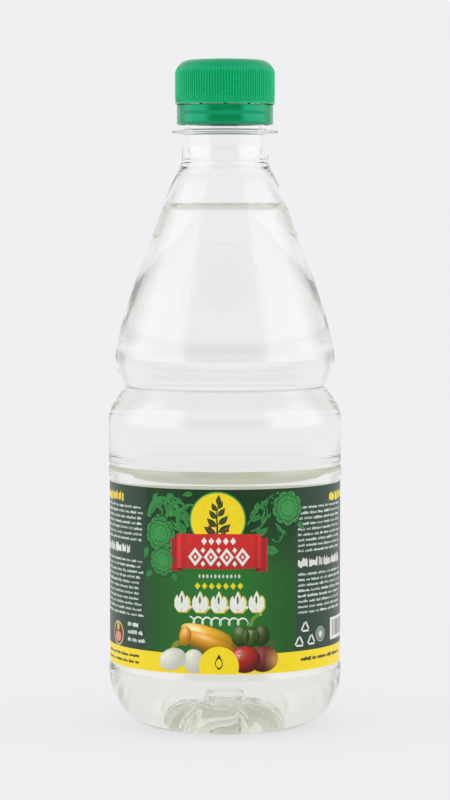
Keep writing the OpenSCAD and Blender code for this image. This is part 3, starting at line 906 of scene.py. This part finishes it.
def ribbon(d, colours):
    """The red ribbon: two folded tails behind a wide front, with a woven-style pattern on it."""
    red, white = np.array(colours.red), colours.white
    left, right, low, top = -14.7, 10.9, 51.5, 62.0
    for edge, out in ((left, -1), (right, 1)):
        inner, outer = edge - 1.7 * out, edge + 1.9 * out
        s = np.linspace(inner, outer, 6)
        d.between(np.c_[s, np.linspace(low - 0.9, low - 0.7, 6)],
                  np.c_[s, np.linspace(top - 1.6, top - 1.4, 6)], red * 0.62, 9)
        fold = np.linspace(inner, edge, 4)
        d.between(np.c_[fold, np.linspace(low - 0.9, low, 4)], np.c_[fold, 0 * fold + low + 0.1],
                  red * 0.25, 10)
        d.box(outer - 0.25 * out, low - 0.7, outer, top - 1.4, red * 1.15, 10)
    s = np.linspace(left, right, 34)
    bow = 0.18 * np.cos(math.pi * (s - left) / (right - left)) ** 2

    def cloth(places):
        """Lighter towards the top, with a light and a dark fold as bell curves near each end."""
        t = (places[..., 0] - left) / (right - left)
        tone = 0.84 + 0.26 * (places[..., 1] - low) / (top - low)
        for gain, middle, width in ((0.5, 0.035, 0.02), (-0.25, 0.075, 0.02),
                                    (0.22, 0.97, 0.012), (-0.2, 0.935, 0.02)):
            tone = tone + gain * np.exp(-((t - middle) / width) ** 2)
        return np.clip(red * tone[..., None], 0, 1)
    d.between(np.c_[s, low + bow], np.c_[s, top - bow], cloth, 11, across=6)
    for k in range(5):
        d.blob((-6.2 + 2.15 * k, 59.8), 0.86, 1.15, white, 12, square=1.0, fine=9)
    for k in range(4):
        middle = -8.9 + 4.7 * k
        for half_width, half_height, colour, layer in ((2.15, 2.75, white, 12), (1.15, 1.5, red, 13),
                                                       (0.5, 0.65, white, 14)):
            d.blob((middle, 55.1), half_width, half_height, colour, layer, square=1.0, fine=9)
        if k < 3:
            for z in (53.1, 57.1):
                d.blob((middle + 2.35, z), 0.7, 0.9, white, 12, square=1.0, fine=9)


def title_rows(d, colours):
    """Plain patterns below the ribbon: dots, lozenges, a row of white tulips with a yellow shade,
    and a looped flourish."""
    white, yellow, fine = colours.white, np.array(colours.yellow), np.array(colours.fine)
    for k in range(11):
        d.blob((-7.6 + 1.18 * k, 49.4), 0.38 if k % 3 else 0.28, 0.62, fine * 1.1, 3, square=1.6, fine=8)
    for k in range(7):
        d.blob((-8.2 + 2.12 * k, 46.5), 0.85, 1.05, yellow * (0.86, 0.95, 1.1), 3, square=1.0, fine=9)
    for k in range(5):
        middle = -13.1 + 5.62 * k
        for right, up, colour, layer, grow in ((0.34, -0.36, yellow * 0.72, 3, 1.06),
                                               (0, 0, white, 5, 1.0)):
            x, z = middle + right, 39.1 + up
            for side in (-1, 1):
                for root, spread, length, width, bend in ((0.3, 50, 4.7, 2.0, 1.05),
                                                          (0.2, 84, 3.0, 1.2, 0.9)):
                    d.leaf((x, z + root), 90 - spread * side, length * grow, width * grow, colour, layer,
                           bend=bend * side)
            d.leaf((x, z), 90, 5.8 * grow, 2.1 * grow, colour, layer)
            d.box(x - 1.5, z - 0.4, x + 1.5, z + 0.1, colour, layer)
        d.blob((middle, 42.3), 0.3, 1.2, colours.ground_light, 7, fine=10)
        if k < 4:
            d.blob((middle + 2.81, 40.1), 0.4, 0.55, white, 5, square=1.0, fine=7)
    t = np.linspace(0, 1, 190)
    loops = TAU * 6.5 * t
    path = np.c_[-10.6 + 17.2 * t + 0.8 * np.sin(loops), 35.9 + 1.4 * np.cos(loops) * (1 - 0.3 * t)]
    d.stroke(path, 0.36 + 0.18 * np.cos(loops + 0.6), white, 4)


def vegetables(d, colours):
    """The vegetables over the yellow band: two peppers, a tomato, an onion and two pale bulbs. They
    keep their own colours."""
    gold, green = srgb(236, 168, 20), srgb(70, 104, 26)
    stalk = srgb(128, 142, 40)
    # Yellow pepper, lying with its stalk to the left.
    d.stroke(curl((-12.6, 29.2), 165, 5.6, 95, 60, 18), np.linspace(1.5, 1.9, 18), stalk, 8)
    d.blob((-16.3, 27.3), 0.9, 0.6, srgb(160, 168, 70), 9, 0.7, fine=10)
    flesh = shaded(gold, 0.7, 0.3)
    d.blob((-5.0, 30.6), 8.4, 3.8, flesh, 8, -0.30, square=2.4, fine=30)
    flesh = shaded(srgb(244, 184, 34), 0.55, 0.35, 0.45, (-0.5, 0.3), 7)
    d.blob((-5.6, 31.9), 8.0, 2.6, flesh, 9, -0.28, square=2.2, fine=30)
    flesh = shaded(srgb(236, 166, 22), 0.6, 0.3, 0.22, (-0.3, 0.5), 8)
    d.blob((-4.6, 29.6), 8.0, 2.1, flesh, 10, -0.33, square=2.2, fine=30)
    flesh = shaded(srgb(232, 160, 24), 0.5, 0.3, 0.3, (-0.1, 0.5), 7)
    d.blob((-12.0, 31.4), 1.9, 2.9, flesh, 11, -0.1, fine=18)
    # Green pepper, standing.
    stem = cubic((7.7, 33.6), (7.4, 35.4), (8.2, 37.4), (10.6, 38.0), 14)
    d.stroke(stem, np.linspace(1.3, 0.95, 14), srgb(110, 148, 58), 9)
    d.blob((10.7, 38.0), 0.35, 0.55, srgb(160, 190, 100), 10, fine=8)
    for at, wide, tone, shine in (((4.6, 31.6), 2.7, 0.95, 0.16), ((10.9, 31.6), 2.6, 0.75, 0.12),
                                  ((7.8, 31.3), 2.6, 1.15, 0.22)):
        flesh = shaded(np.array(green) * tone, 0.75, 0.5, shine, (-0.2, 0.55), 8)
        d.blob(at, wide, 3.1, flesh, 10, fine=20)
    d.blob((7.8, 33.9), 2.0, 0.6, shaded(srgb(64, 100, 34), 0.5, 0.4), 11, fine=14)
    # Onion and its sprout, then the tomato in front of it.
    d.stroke(curl((13.4, 26.8), 60, 3.2, -40, 120, 12), np.linspace(0.6, 0.3, 12), srgb(120, 70, 60), 9)
    onion = shaded(srgb(128, 40, 36), 0.75, 0.35, 0.10, (-0.5, 0.35), 6)

    def skin(inner):
        a, b = inner[..., :1], inner[..., 1:]
        gold_side = np.clip((a - 0.05) * 1.5, 0, 1) * np.clip(1.1 - np.abs(b + 0.1), 0, 1)
        return np.clip(onion(inner) * (1 - gold_side) + np.array(srgb(196, 140, 72)) * gold_side, 0, 1)
    d.blob((11.6, 24.6), 4.7, 3.9, skin, 10, fine=24)
    tomato = shaded(srgb(196, 36, 26), 0.8, 0.45, 0.5, (-0.35, 0.4), 18)
    d.blob((5.9, 24.6), 4.8, 4.0, tomato, 12, fine=26)
    for k in range(5):
        d.leaf((5.2, 26.2), 20 + 72 * k, 1.6, 0.5, srgb(112, 96, 40), 13, bend=0.3)
    # Pale bulbs with thin veins.
    along, arch = np.linspace(-0.7, 0.75, 10), np.cos(np.linspace(-1.2, 1.2, 10))
    for at, wide, high, turn in (((-16.2, 24.3), 4.6, 3.2, 0.35), ((-9.4, 24.0), 3.2, 3.6, -0.05)):
        flesh = shaded(srgb(228, 229, 214), 0.26, 0.1, 0.1, (-0.3, 0.4), 6)
        d.blob(at, wide, high, flesh, 12, turn, fine=22)
        c, s = math.cos(turn), math.sin(turn)
        for k in (-1, 0, 1):
            x, y = along * wide, k * 0.42 * high * arch
            d.stroke(np.c_[at[0] + c * x - s * y, at[1] + s * x + c * y], 0.12, srgb(206, 206, 186), 13)


def strength_disc(d, colours):
    """The yellow disc at the bottom, with a plain dark drop."""
    centre, radius = (-1.8, 22.6), 5.9
    d.blob(centre, radius, radius, np.array(colours.yellow) * 1.02, 14, fine=36)
    t = np.linspace(0, 1, 22)
    half = 1.55 * np.sin(math.pi * t) ** 0.8 * (1 - 0.62 * t) + 0.02
    z = 21.6 + 4.6 * t
    d.between(np.c_[centre[0] - half, z], np.c_[centre[0] + half, z], srgb(52, 44, 22), 15)
    d.blob((centre[0] - 0.55, 22.9), 0.2, 0.55, colours.yellow, 16, 0.2, fine=8)


def fine_print(d, left, right, top, low, seed, colour, pitch=1.62, height=0.86, layer=2, ragged=0.0):
    """Rows of worn-looking bars in place of text. Each bar is a word: its top edge steps up and
    down at random between an even height and a taller one."""
    draw = np.random.default_rng(seed)
    for z in np.arange(top, low, -pitch):
        s = left + draw.uniform(0, ragged)
        end = right - draw.uniform(0, 2.5)
        while s < end - 1.2:
            length = min(draw.uniform(1.4, 5.2), end - s)
            n = max(3, int(length / 0.42))
            across = np.linspace(s, s + length, n)
            high = z + height * draw.choice([0.62, 0.72, 0.82, 1.0], n)
            low_edge = z + height * draw.choice([0.0, 0.08, 0.16], n)
            tone = np.array(colour) * draw.uniform(0.7, 1.15)
            d.between(np.c_[across, low_edge], np.c_[across, high], np.clip(tone, 0, 1), layer)
            s += length + 0.62


def text_panels(d, colours):
    """Columns of fine print all round the sides and back, with their headings."""
    fine, yellow, white = np.array(colours.fine), np.array(colours.yellow), np.array(colours.white)
    columns = ((23.4, 49.0, 68.6, 11, 51.0), (54.0, 78.0, 71.5, 12, 51.0), (83.0, 103.0, 71.5, 13, 51.0),
               (-53.0, -26.6, 68.4, 21, 54.6), (-80.0, -58.0, 71.5, 22, 54.6),
               (-103.0, -85.0, 71.5, 23, 54.6))
    for left, right, top, seed, bold in columns:
        fine_print(d, left, right, top, bold + 3.4, seed, fine)
        edge = right if left > 0 else left + 0.8 * (right - left)
        fine_print(d, left, edge, bold, bold - 1, seed + 50, white * 0.85, pitch=3, height=2.9)
        fine_print(d, left, right, bold - 2.4, 36.0, seed + 100, fine)
    for left, right in ((38.6, 53.0), (-53.0, -36.6)):
        fine_print(d, left, right, 70.0, 69.0, 31, yellow * 0.95, pitch=3, height=3.3)
    for k in range(3):
        fine_print(d, -34.4, -26.2, 32.7 - 2.3 * k, 32.2 - 2.3 * k, 41 + k, fine * 1.1, pitch=3, height=1.4)
    ink = np.array(srgb(92, 84, 40))
    fine_print(d, -50.0, -26.0, 23.6, 21.0, 61, ink, pitch=1.9, height=0.95, layer=3)
    fine_print(d, 24.5, 50.0, 23.0, 22.4, 62, ink, pitch=3, height=1.25, layer=3)
    for left, right, seed in ((60.0, 100.0, 63), (-100.0, -60.0, 64)):
        fine_print(d, left, right, 23.4, 21.2, seed, ink, pitch=1.9, height=0.9, layer=3)


def small_marks(d, colours):
    """Plain marks at the foot of the side panels: a ringed disc, three triangles, a seal, a sign
    panel of bars and, further round, a row of dots."""
    white, fine = np.array(colours.white), np.array(colours.fine)
    d.blob((-40.6, 29.9), 3.7, 3.7, srgb(206, 196, 130), 3, fine=22)
    d.blob((-40.6, 29.9), 3.2, 3.2, srgb(112, 36, 32), 4, fine=22)
    d.blob((-40.6, 28.9), 2.1, 1.6, srgb(226, 140, 120), 5, fine=16)
    d.blob((-40.6, 31.9), 0.8, 1.2, srgb(240, 206, 60), 6, fine=12)
    for x, z in ((26.4, 33.0), (24.0, 28.7), (29.0, 28.9)):
        corners = [np.array((x, z)) + 2.0 * np.array((math.cos(a), math.sin(a)))
                   for a in (math.radians(90 + 120 * k) for k in range(3))]
        for k in range(3):
            a, b = corners[k], corners[(k + 1) % 3]
            path = a + (b - a) * np.linspace(0.16, 0.92, 6)[:, None]
            d.stroke(path, 0.55, white * 0.9, 4)
    d.ring((33.4, 30.4), 2.1, 0.42, fine * 0.8, 4)
    d.blob((33.4, 30.4), 1.6, 1.6, srgb(150, 160, 140), 4, fine=16)
    d.blob((33.4, 30.4), 0.8, 0.95, white * 0.9, 5, square=1.5, fine=10)
    d.box(39.4, 27.9, 62.0, 34.6, white * 0.92, 4)
    draw = np.random.default_rng(5)
    s = 41.0
    while s < 60.0:
        wide = draw.choice([0.25, 0.25, 0.45, 0.7])
        d.box(s, 28.9, s + wide, 33.8, srgb(30, 36, 32), 5)
        s += wide + draw.choice([0.3, 0.45, 0.7])
    for k in range(9):
        d.blob((-98.0 + 4.0 * k, 30.6), 0.8, 0.8, np.array(colours.leaf), 3, fine=10)


DRAWINGS = (
    ("label_flowers", flowers_and_scrolls),
    ("label_sprig_disc", sprig_disc),
    ("label_ribbon", ribbon),
    ("label_title_rows", title_rows),
    ("label_vegetables", vegetables),
    ("label_strength_disc", strength_disc),
    ("label_fine_print", text_panels),
    ("label_small_marks", small_marks),
)


def yellow_band(d, colours):
    """The yellow band along the foot of the label, all the way round."""
    reach = math.pi * LABEL_R / MM
    s = np.linspace(-reach, reach, 300)
    low, high = LABEL_LOW / MM, (LABEL_LOW + d.sizes.yellow_band) / MM
    d.between(np.c_[s, 0 * s + low], np.c_[s, 0 * s + high], colours.yellow, 1)


def film_mesh(sizes, turns=360):
    """The film: a closed strip round the panel, whose section goes up its outside and down its
    inside. The outside steps out where the film laps over itself at the back."""
    angle = np.arange(turns)[None, :] * TAU / turns
    from_front = (angle + TAU / 4 + math.pi) % TAU - math.pi
    outer = film_radius(sizes, from_front)
    inner = LABEL_R - sizes.film + 0.00001 + 0 * angle
    heights = np.linspace(LABEL_LOW, LABEL_TOP, 8)[:, None]
    radius = np.vstack([outer + 0 * heights, inner + 0 * heights])
    height = np.vstack([heights, heights[::-1]]) + 0 * angle
    points = np.stack([radius * np.cos(angle), radius * np.sin(angle), height], -1).reshape(-1, 3)
    faces = grid_faces(len(radius), turns, wrap_rows=True, wrap_columns=True)
    inside = np.repeat(np.arange(len(radius)) >= len(heights), turns)
    inside[-turns:] = False
    return points, faces.tolist(), inside


# ---------------------------------------------------------------------------------------------
# Cap and tamper band
# ---------------------------------------------------------------------------------------------

def cap_mesh(c, samples=8):
    """The cap: its section runs from the middle of the hollow's top, down the inside, under the
    skirt and up the outside to the middle of the top. The outside is pushed out into ribs by a
    flattened wave round the axis that fades out over the rounded edge."""
    bore = CAP_R - c.rim_width - c.rib_depth - c.wall
    root = bore + c.wall
    hollow_z = CAP_TOP - c.top
    bevel, chamfer = 0.00015, 0.00012
    inner = np.array([(0, hollow_z), (bore - c.hollow_corner, hollow_z), (bore, hollow_z - c.hollow_corner),
                      (bore, SKIRT_Z + bevel), (bore + bevel, SKIRT_Z)])
    t = np.linspace(0, math.pi / 2, 24)
    edge = np.c_[root - c.edge + c.edge * np.cos(t), CAP_TOP - c.edge + c.edge * np.sin(t)]
    rim_top = SKIRT_Z + c.rim_height
    outer = np.vstack([[(CAP_R - chamfer, SKIRT_Z), (CAP_R, SKIRT_Z + chamfer), (CAP_R, rim_top),
                        (root, rim_top + 0.0001)], edge, [(0, CAP_TOP)]])
    inner = np.vstack([inner[:1], thinned(softened(inner, 0.0001), 0.004, 25)[1:]])
    outer = thinned(softened(outer, 0.00007, 0.00004), 0.0022, 9)
    outer[-1, 0] = 0
    turns = c.ribs * samples
    angle = np.arange(turns)[None, :] * TAU / turns
    wave = np.tanh(2.6 * np.cos(c.ribs * angle)) / math.tanh(2.6) / 2 + 0.5
    z = outer[:, 1:] + 0 * angle
    low = np.clip((z - SKIRT_Z - c.rim_height) / 0.0005, 0, 1)
    fade_from, fade_to = CAP_TOP - c.edge + 0.0002, CAP_TOP - c.edge * 0.42
    high = np.clip((fade_to - z) / (fade_to - fade_from), 0, 1)
    ribs = c.rib_depth * wave * low * high * high * (3 - 2 * high)
    radius = np.vstack([inner[:, :1] + 0 * angle, outer[:, :1] + ribs])
    height = np.vstack([inner[:, 1:] + 0 * angle, z])
    return revolved(radius, height, turns)


def band_mesh(c, turns=720):
    """The tamper band: a closed ring whose section goes up its outside and down its inside. Its top
    edge steps up into the bridges, which reach the skirt."""
    bore = BAND_R - c.band_wall
    top = SKIRT_Z - c.bridge_height
    middle = (BAND_Z + top) / 2
    corner, inner_corner, line_half = 0.0002, 0.0001, 0.00035
    lip_reach, lip_low, lip_edge, lip_top = 0.0007, 0.0008, 0.0021, 0.0024
    outline = np.array([
        (bore, BAND_Z), (BAND_R - corner, BAND_Z), (BAND_R, BAND_Z + corner), (BAND_R, middle - line_half),
        (BAND_R - c.band_bead, middle), (BAND_R, middle + line_half), (BAND_R, top - corner),
        (BAND_R - corner, top), (bore + inner_corner, top), (bore, top - inner_corner),
        (bore, BAND_Z + lip_top), (bore - lip_reach, BAND_Z + lip_edge), (bore, BAND_Z + lip_low),
        (bore, BAND_Z)])
    outline = thinned(softened(outline, 0.00005, 0.00003), 0.0012, 18)[:-1]
    angle = np.arange(turns)[None, :] * TAU / turns
    off = np.abs((c.bridges * angle + math.pi) % TAU - math.pi) / c.bridges * BAND_R
    bridge = np.clip((c.bridge_width / 2 - off) / 0.00012 + 0.5, 0, 1)
    radius, height = outline[:, :1] + 0 * angle, outline[:, 1:] + 0 * angle
    on_top = (outline[:, 1:] > top - 0.00004) & (outline[:, :1] > bore + 0.00008)
    height = height + c.bridge_height * bridge * on_top
    points = np.stack([radius * np.cos(angle), radius * np.sin(angle), height], -1).reshape(-1, 3)
    return points, grid_faces(len(outline), turns, wrap_rows=True, wrap_columns=True).tolist()


# ---------------------------------------------------------------------------------------------
# Operators
# ---------------------------------------------------------------------------------------------

def settings(context):
    """The groups of sizes and colours: bottle, cap, label and colours."""
    scene = context.scene
    return scene.bottle_sizes, scene.cap_sizes, scene.label_sizes, scene.bottle_colours


def install(piece, slot, *nodes):
    """Makes a finished piece ride on the bottle and hides the imported parts of the nodes it stands for.
    Its slot is not used.
    """
    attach(piece, BODY)
    if nodes:
        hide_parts(*nodes)
    if not len(piece.data.polygons):
        raise RuntimeError(f"{piece.name} has no faces")


class BOTTLE_OT_shell(Operator):
    """Build the clear blown bottle with its screw thread"""
    bl_idname = "bottle.shell"
    bl_label = "Bottle"

    def execute(self, context):
        b, _, _, _ = settings(context)
        piece = make_piece("bottle_shell", *bottle_mesh(b), clear_plastic(waist_height(b)))
        install(piece, "clear_plastic", "bottle")
        return {"FINISHED"}


class BOTTLE_OT_vinegar(Operator):
    """Fill the bottle with vinegar up to its level"""
    bl_idname = "bottle.vinegar"
    bl_label = "Vinegar"

    def execute(self, context):
        b, _, _, colours = settings(context)
        piece = make_piece("vinegar_fill", *vinegar_mesh(b), vinegar_liquid(colours))
        install(piece, "vinegar", "vinegar")
        return {"FINISHED"}


class BOTTLE_OT_label(Operator):
    """Wrap the label film round the bottle and print it"""
    bl_idname = "bottle.label"
    bl_label = "Label"

    def execute(self, context):
        _, _, sizes, colours = settings(context)
        points, faces, inside = film_mesh(sizes)
        film = make_piece("label_film", points, faces, [label_ground(colours), label_backing(colours)],
                          smooth=False)
        film.data.polygons.foreach_set("material_index", inside.astype(np.int32))
        install(film, "label_film", "label")
        ink = label_ink()
        for name, draw in (("label_yellow_band", yellow_band), *DRAWINGS):
            drawing = Drawing(sizes)
            draw(drawing, colours)
            install(drawing.piece(name, ink), "label_film")
        return {"FINISHED"}


class BOTTLE_OT_cap(Operator):
    """Build the ribbed screw cap"""
    bl_idname = "bottle.cap"
    bl_label = "Cap"

    def execute(self, context):
        _, c, _, colours = settings(context)
        piece = make_piece("cap_shell", *cap_mesh(c), green_plastic(colours))
        install(piece, "green_plastic", "cap")
        return {"FINISHED"}


class BOTTLE_OT_band(Operator):
    """Build the tamper band under the cap"""
    bl_idname = "bottle.band"
    bl_label = "Tamper band"

    def execute(self, context):
        _, c, _, colours = settings(context)
        # The band's green is dimmed to 0.84 of the cap's as painted shade.
        piece = make_piece("tamper_ring", *band_mesh(c), green_plastic(colours, "green_band", 0.84, 0.12))
        install(piece, "green_plastic", "tamper_band")
        return {"FINISHED"}


class BOTTLE_OT_stage(Operator):
    """Set up the pale floor, the studio light and the camera"""
    bl_idname = "bottle.stage"
    bl_label = "Studio"

    def execute(self, context):
        _, _, _, colours = settings(context)
        scene = context.scene
        build_floor(colours)
        build_world(scene, colours)
        camera = bpy.data.objects.new("camera", bpy.data.cameras.new("camera"))
        camera.data.lens = CAMERA_LENS
        camera.data.sensor_width = 36.0
        camera.location = CAMERA_PLACE
        camera.rotation_euler = (TAU / 4 - CAMERA_DOWN, 0.0, 0.0)
        camera.data.clip_start = 0.01
        camera.data.clip_end = 60.0
        scene.collection.objects.link(camera)
        scene.camera = camera
        scene.view_settings.view_transform = "Standard"
        scene.cycles.max_bounces = 64
        scene.cycles.transmission_bounces = 60
        scene.cycles.glossy_bounces = 60
        scene.cycles.transparent_max_bounces = 12
        scene.cycles.caustics_refractive = True
        return {"FINISHED"}


def build_floor(colours):
    """The floor: a wide disc of rings that is matt and pale under the bottle, and glows like the
    background further out, so that no horizon shows."""
    turns = 96
    rings = np.r_[0, np.geomspace(0.03, FLOOR_REACH, 40)][:, None]
    radius, height = np.broadcast_to(rings, (len(rings), turns)), np.zeros((len(rings), turns))
    points, faces = revolved(radius[::-1] + 0.0, height, turns)
    material, make, tree, shader, output = new_material("studio_floor")
    where = make("ShaderNodeTexCoord", out=3)
    far = make("ShaderNodeVectorMath", where, operation="LENGTH", out=1)
    blend = eased(make, far, 0.05, 0.26, 0.82, 1.0)
    speck = carried(make, noise(make, 40, 2), 0.3, 0.7, 0.985, 1.0)
    pale = make("ShaderNodeVectorMath", (0.9, 0.9, 0.91), None, None, speck, operation="SCALE")
    feed(tree, shader, Base_Color=pale, Roughness=0.9)
    glow = make("ShaderNodeEmission", opaque(colours.backdrop), 1.0)
    mixed = make("ShaderNodeMixShader", blend, shader.outputs[0], glow)
    tree.links.new(mixed, output.inputs["Surface"])
    floor = make_piece("studio_floor", points, faces, material)


def build_world(scene, colours):
    """The studio around, by direction: as pale as the backdrop behind the bottle, dimmer low down
    opposite, with a bright, soft-edged panel at each side and a slim olive edge behind each panel."""
    world = bpy.data.worlds.new("studio")
    scene.world = world
    world.use_nodes = True
    tree = world.node_tree
    tree.nodes.clear()
    make = wiring(tree)
    x, y, z = axes(make, out=0)

    def times(a, b):
        return make("ShaderNodeMath", a, b, operation="MULTIPLY")

    def step(value, low, high, to_low=0.0, to_high=1.0):
        """A soft step between two angles in degrees."""
        return eased(make, value, math.radians(low), math.radians(high), to_low, to_high)
    side = make("ShaderNodeMath", x, operation="ABSOLUTE")
    turn = make("ShaderNodeMath", side, times(y, -1.0), operation="ARCTAN2")
    panel = times(step(turn, 38, 54), step(turn, 98, 122, 1.0, 0.0))
    panel = times(panel, times(eased(make, z, -0.03, 0.03), eased(make, z, 0.58, 0.86, 1.0, 0.0)))
    glow = make("ShaderNodeVectorMath", (1, 1, 1), None, None, times(panel, PANEL_GLOW), operation="SCALE")
    room = blended(make, eased(make, z, 0.2, 0.45), (0.24, 0.242, 0.225, 1), (0.93, 0.93, 0.91, 1))
    room = blended(make, step(turn, 32, 46), room, (0.80, 0.81, 0.76, 1))
    behind = blended(make, eased(make, y, -0.35, 0.15), room, opaque(colours.backdrop))
    off_back = make("ShaderNodeMath", side, y, operation="ARCTAN2")
    rim = times(step(off_back, 40, 49), step(off_back, 50, 60, 1.0, 0.0))
    behind = blended(make, times(rim, RIM_SHARE), behind, (0.45, 0.46, 0.33, 1))
    light = make("ShaderNodeVectorMath", behind, glow, operation="ADD")
    output = tree.nodes.new("ShaderNodeOutputWorld")
    tree.links.new(make("ShaderNodeBackground", light, 1.0), output.inputs["Surface"])


class BOTTLE_PT_panel(Panel):
    """Sizes, colours and the steps that build the bottle"""
    bl_idname = "BOTTLE_PT_panel"
    bl_label = "Vinegar bottle"
    bl_space_type = "VIEW_3D"
    bl_region_type = "UI"
    bl_category = "Bottle"

    def draw(self, context):
        for operator in OPERATORS:
            self.layout.operator(operator.bl_idname)
        for name, group in GROUPS:
            box = self.layout.box()
            box.label(text=group.__name__)
            for key in group.__annotations__:
                box.prop(getattr(context.scene, name), key)


OPERATORS = (BOTTLE_OT_shell, BOTTLE_OT_vinegar, BOTTLE_OT_label, BOTTLE_OT_cap, BOTTLE_OT_band,
             BOTTLE_OT_stage)
GROUPS = (("bottle_sizes", BottleSizes), ("cap_sizes", CapSizes), ("label_sizes", LabelSizes),
          ("bottle_colours", Colours))


def register():
    for _, group in GROUPS:
        bpy.utils.register_class(group)
    for each in (*OPERATORS, BOTTLE_PT_panel):
        bpy.utils.register_class(each)
    for name, group in GROUPS:
        setattr(bpy.types.Scene, name, PointerProperty(type=group))


def unregister():
    for name, _ in GROUPS:
        delattr(bpy.types.Scene, name)
    for each in (BOTTLE_PT_panel, *reversed(OPERATORS)):
        bpy.utils.unregister_class(each)
    for _, group in reversed(GROUPS):
        bpy.utils.unregister_class(group)


def main():
    """Builds everything in order."""
    register()
    for operator in OPERATORS:
        group, name = operator.bl_idname.split(".")
        getattr(getattr(bpy.ops, group), name)()


if __name__ == "__main__":
    main()
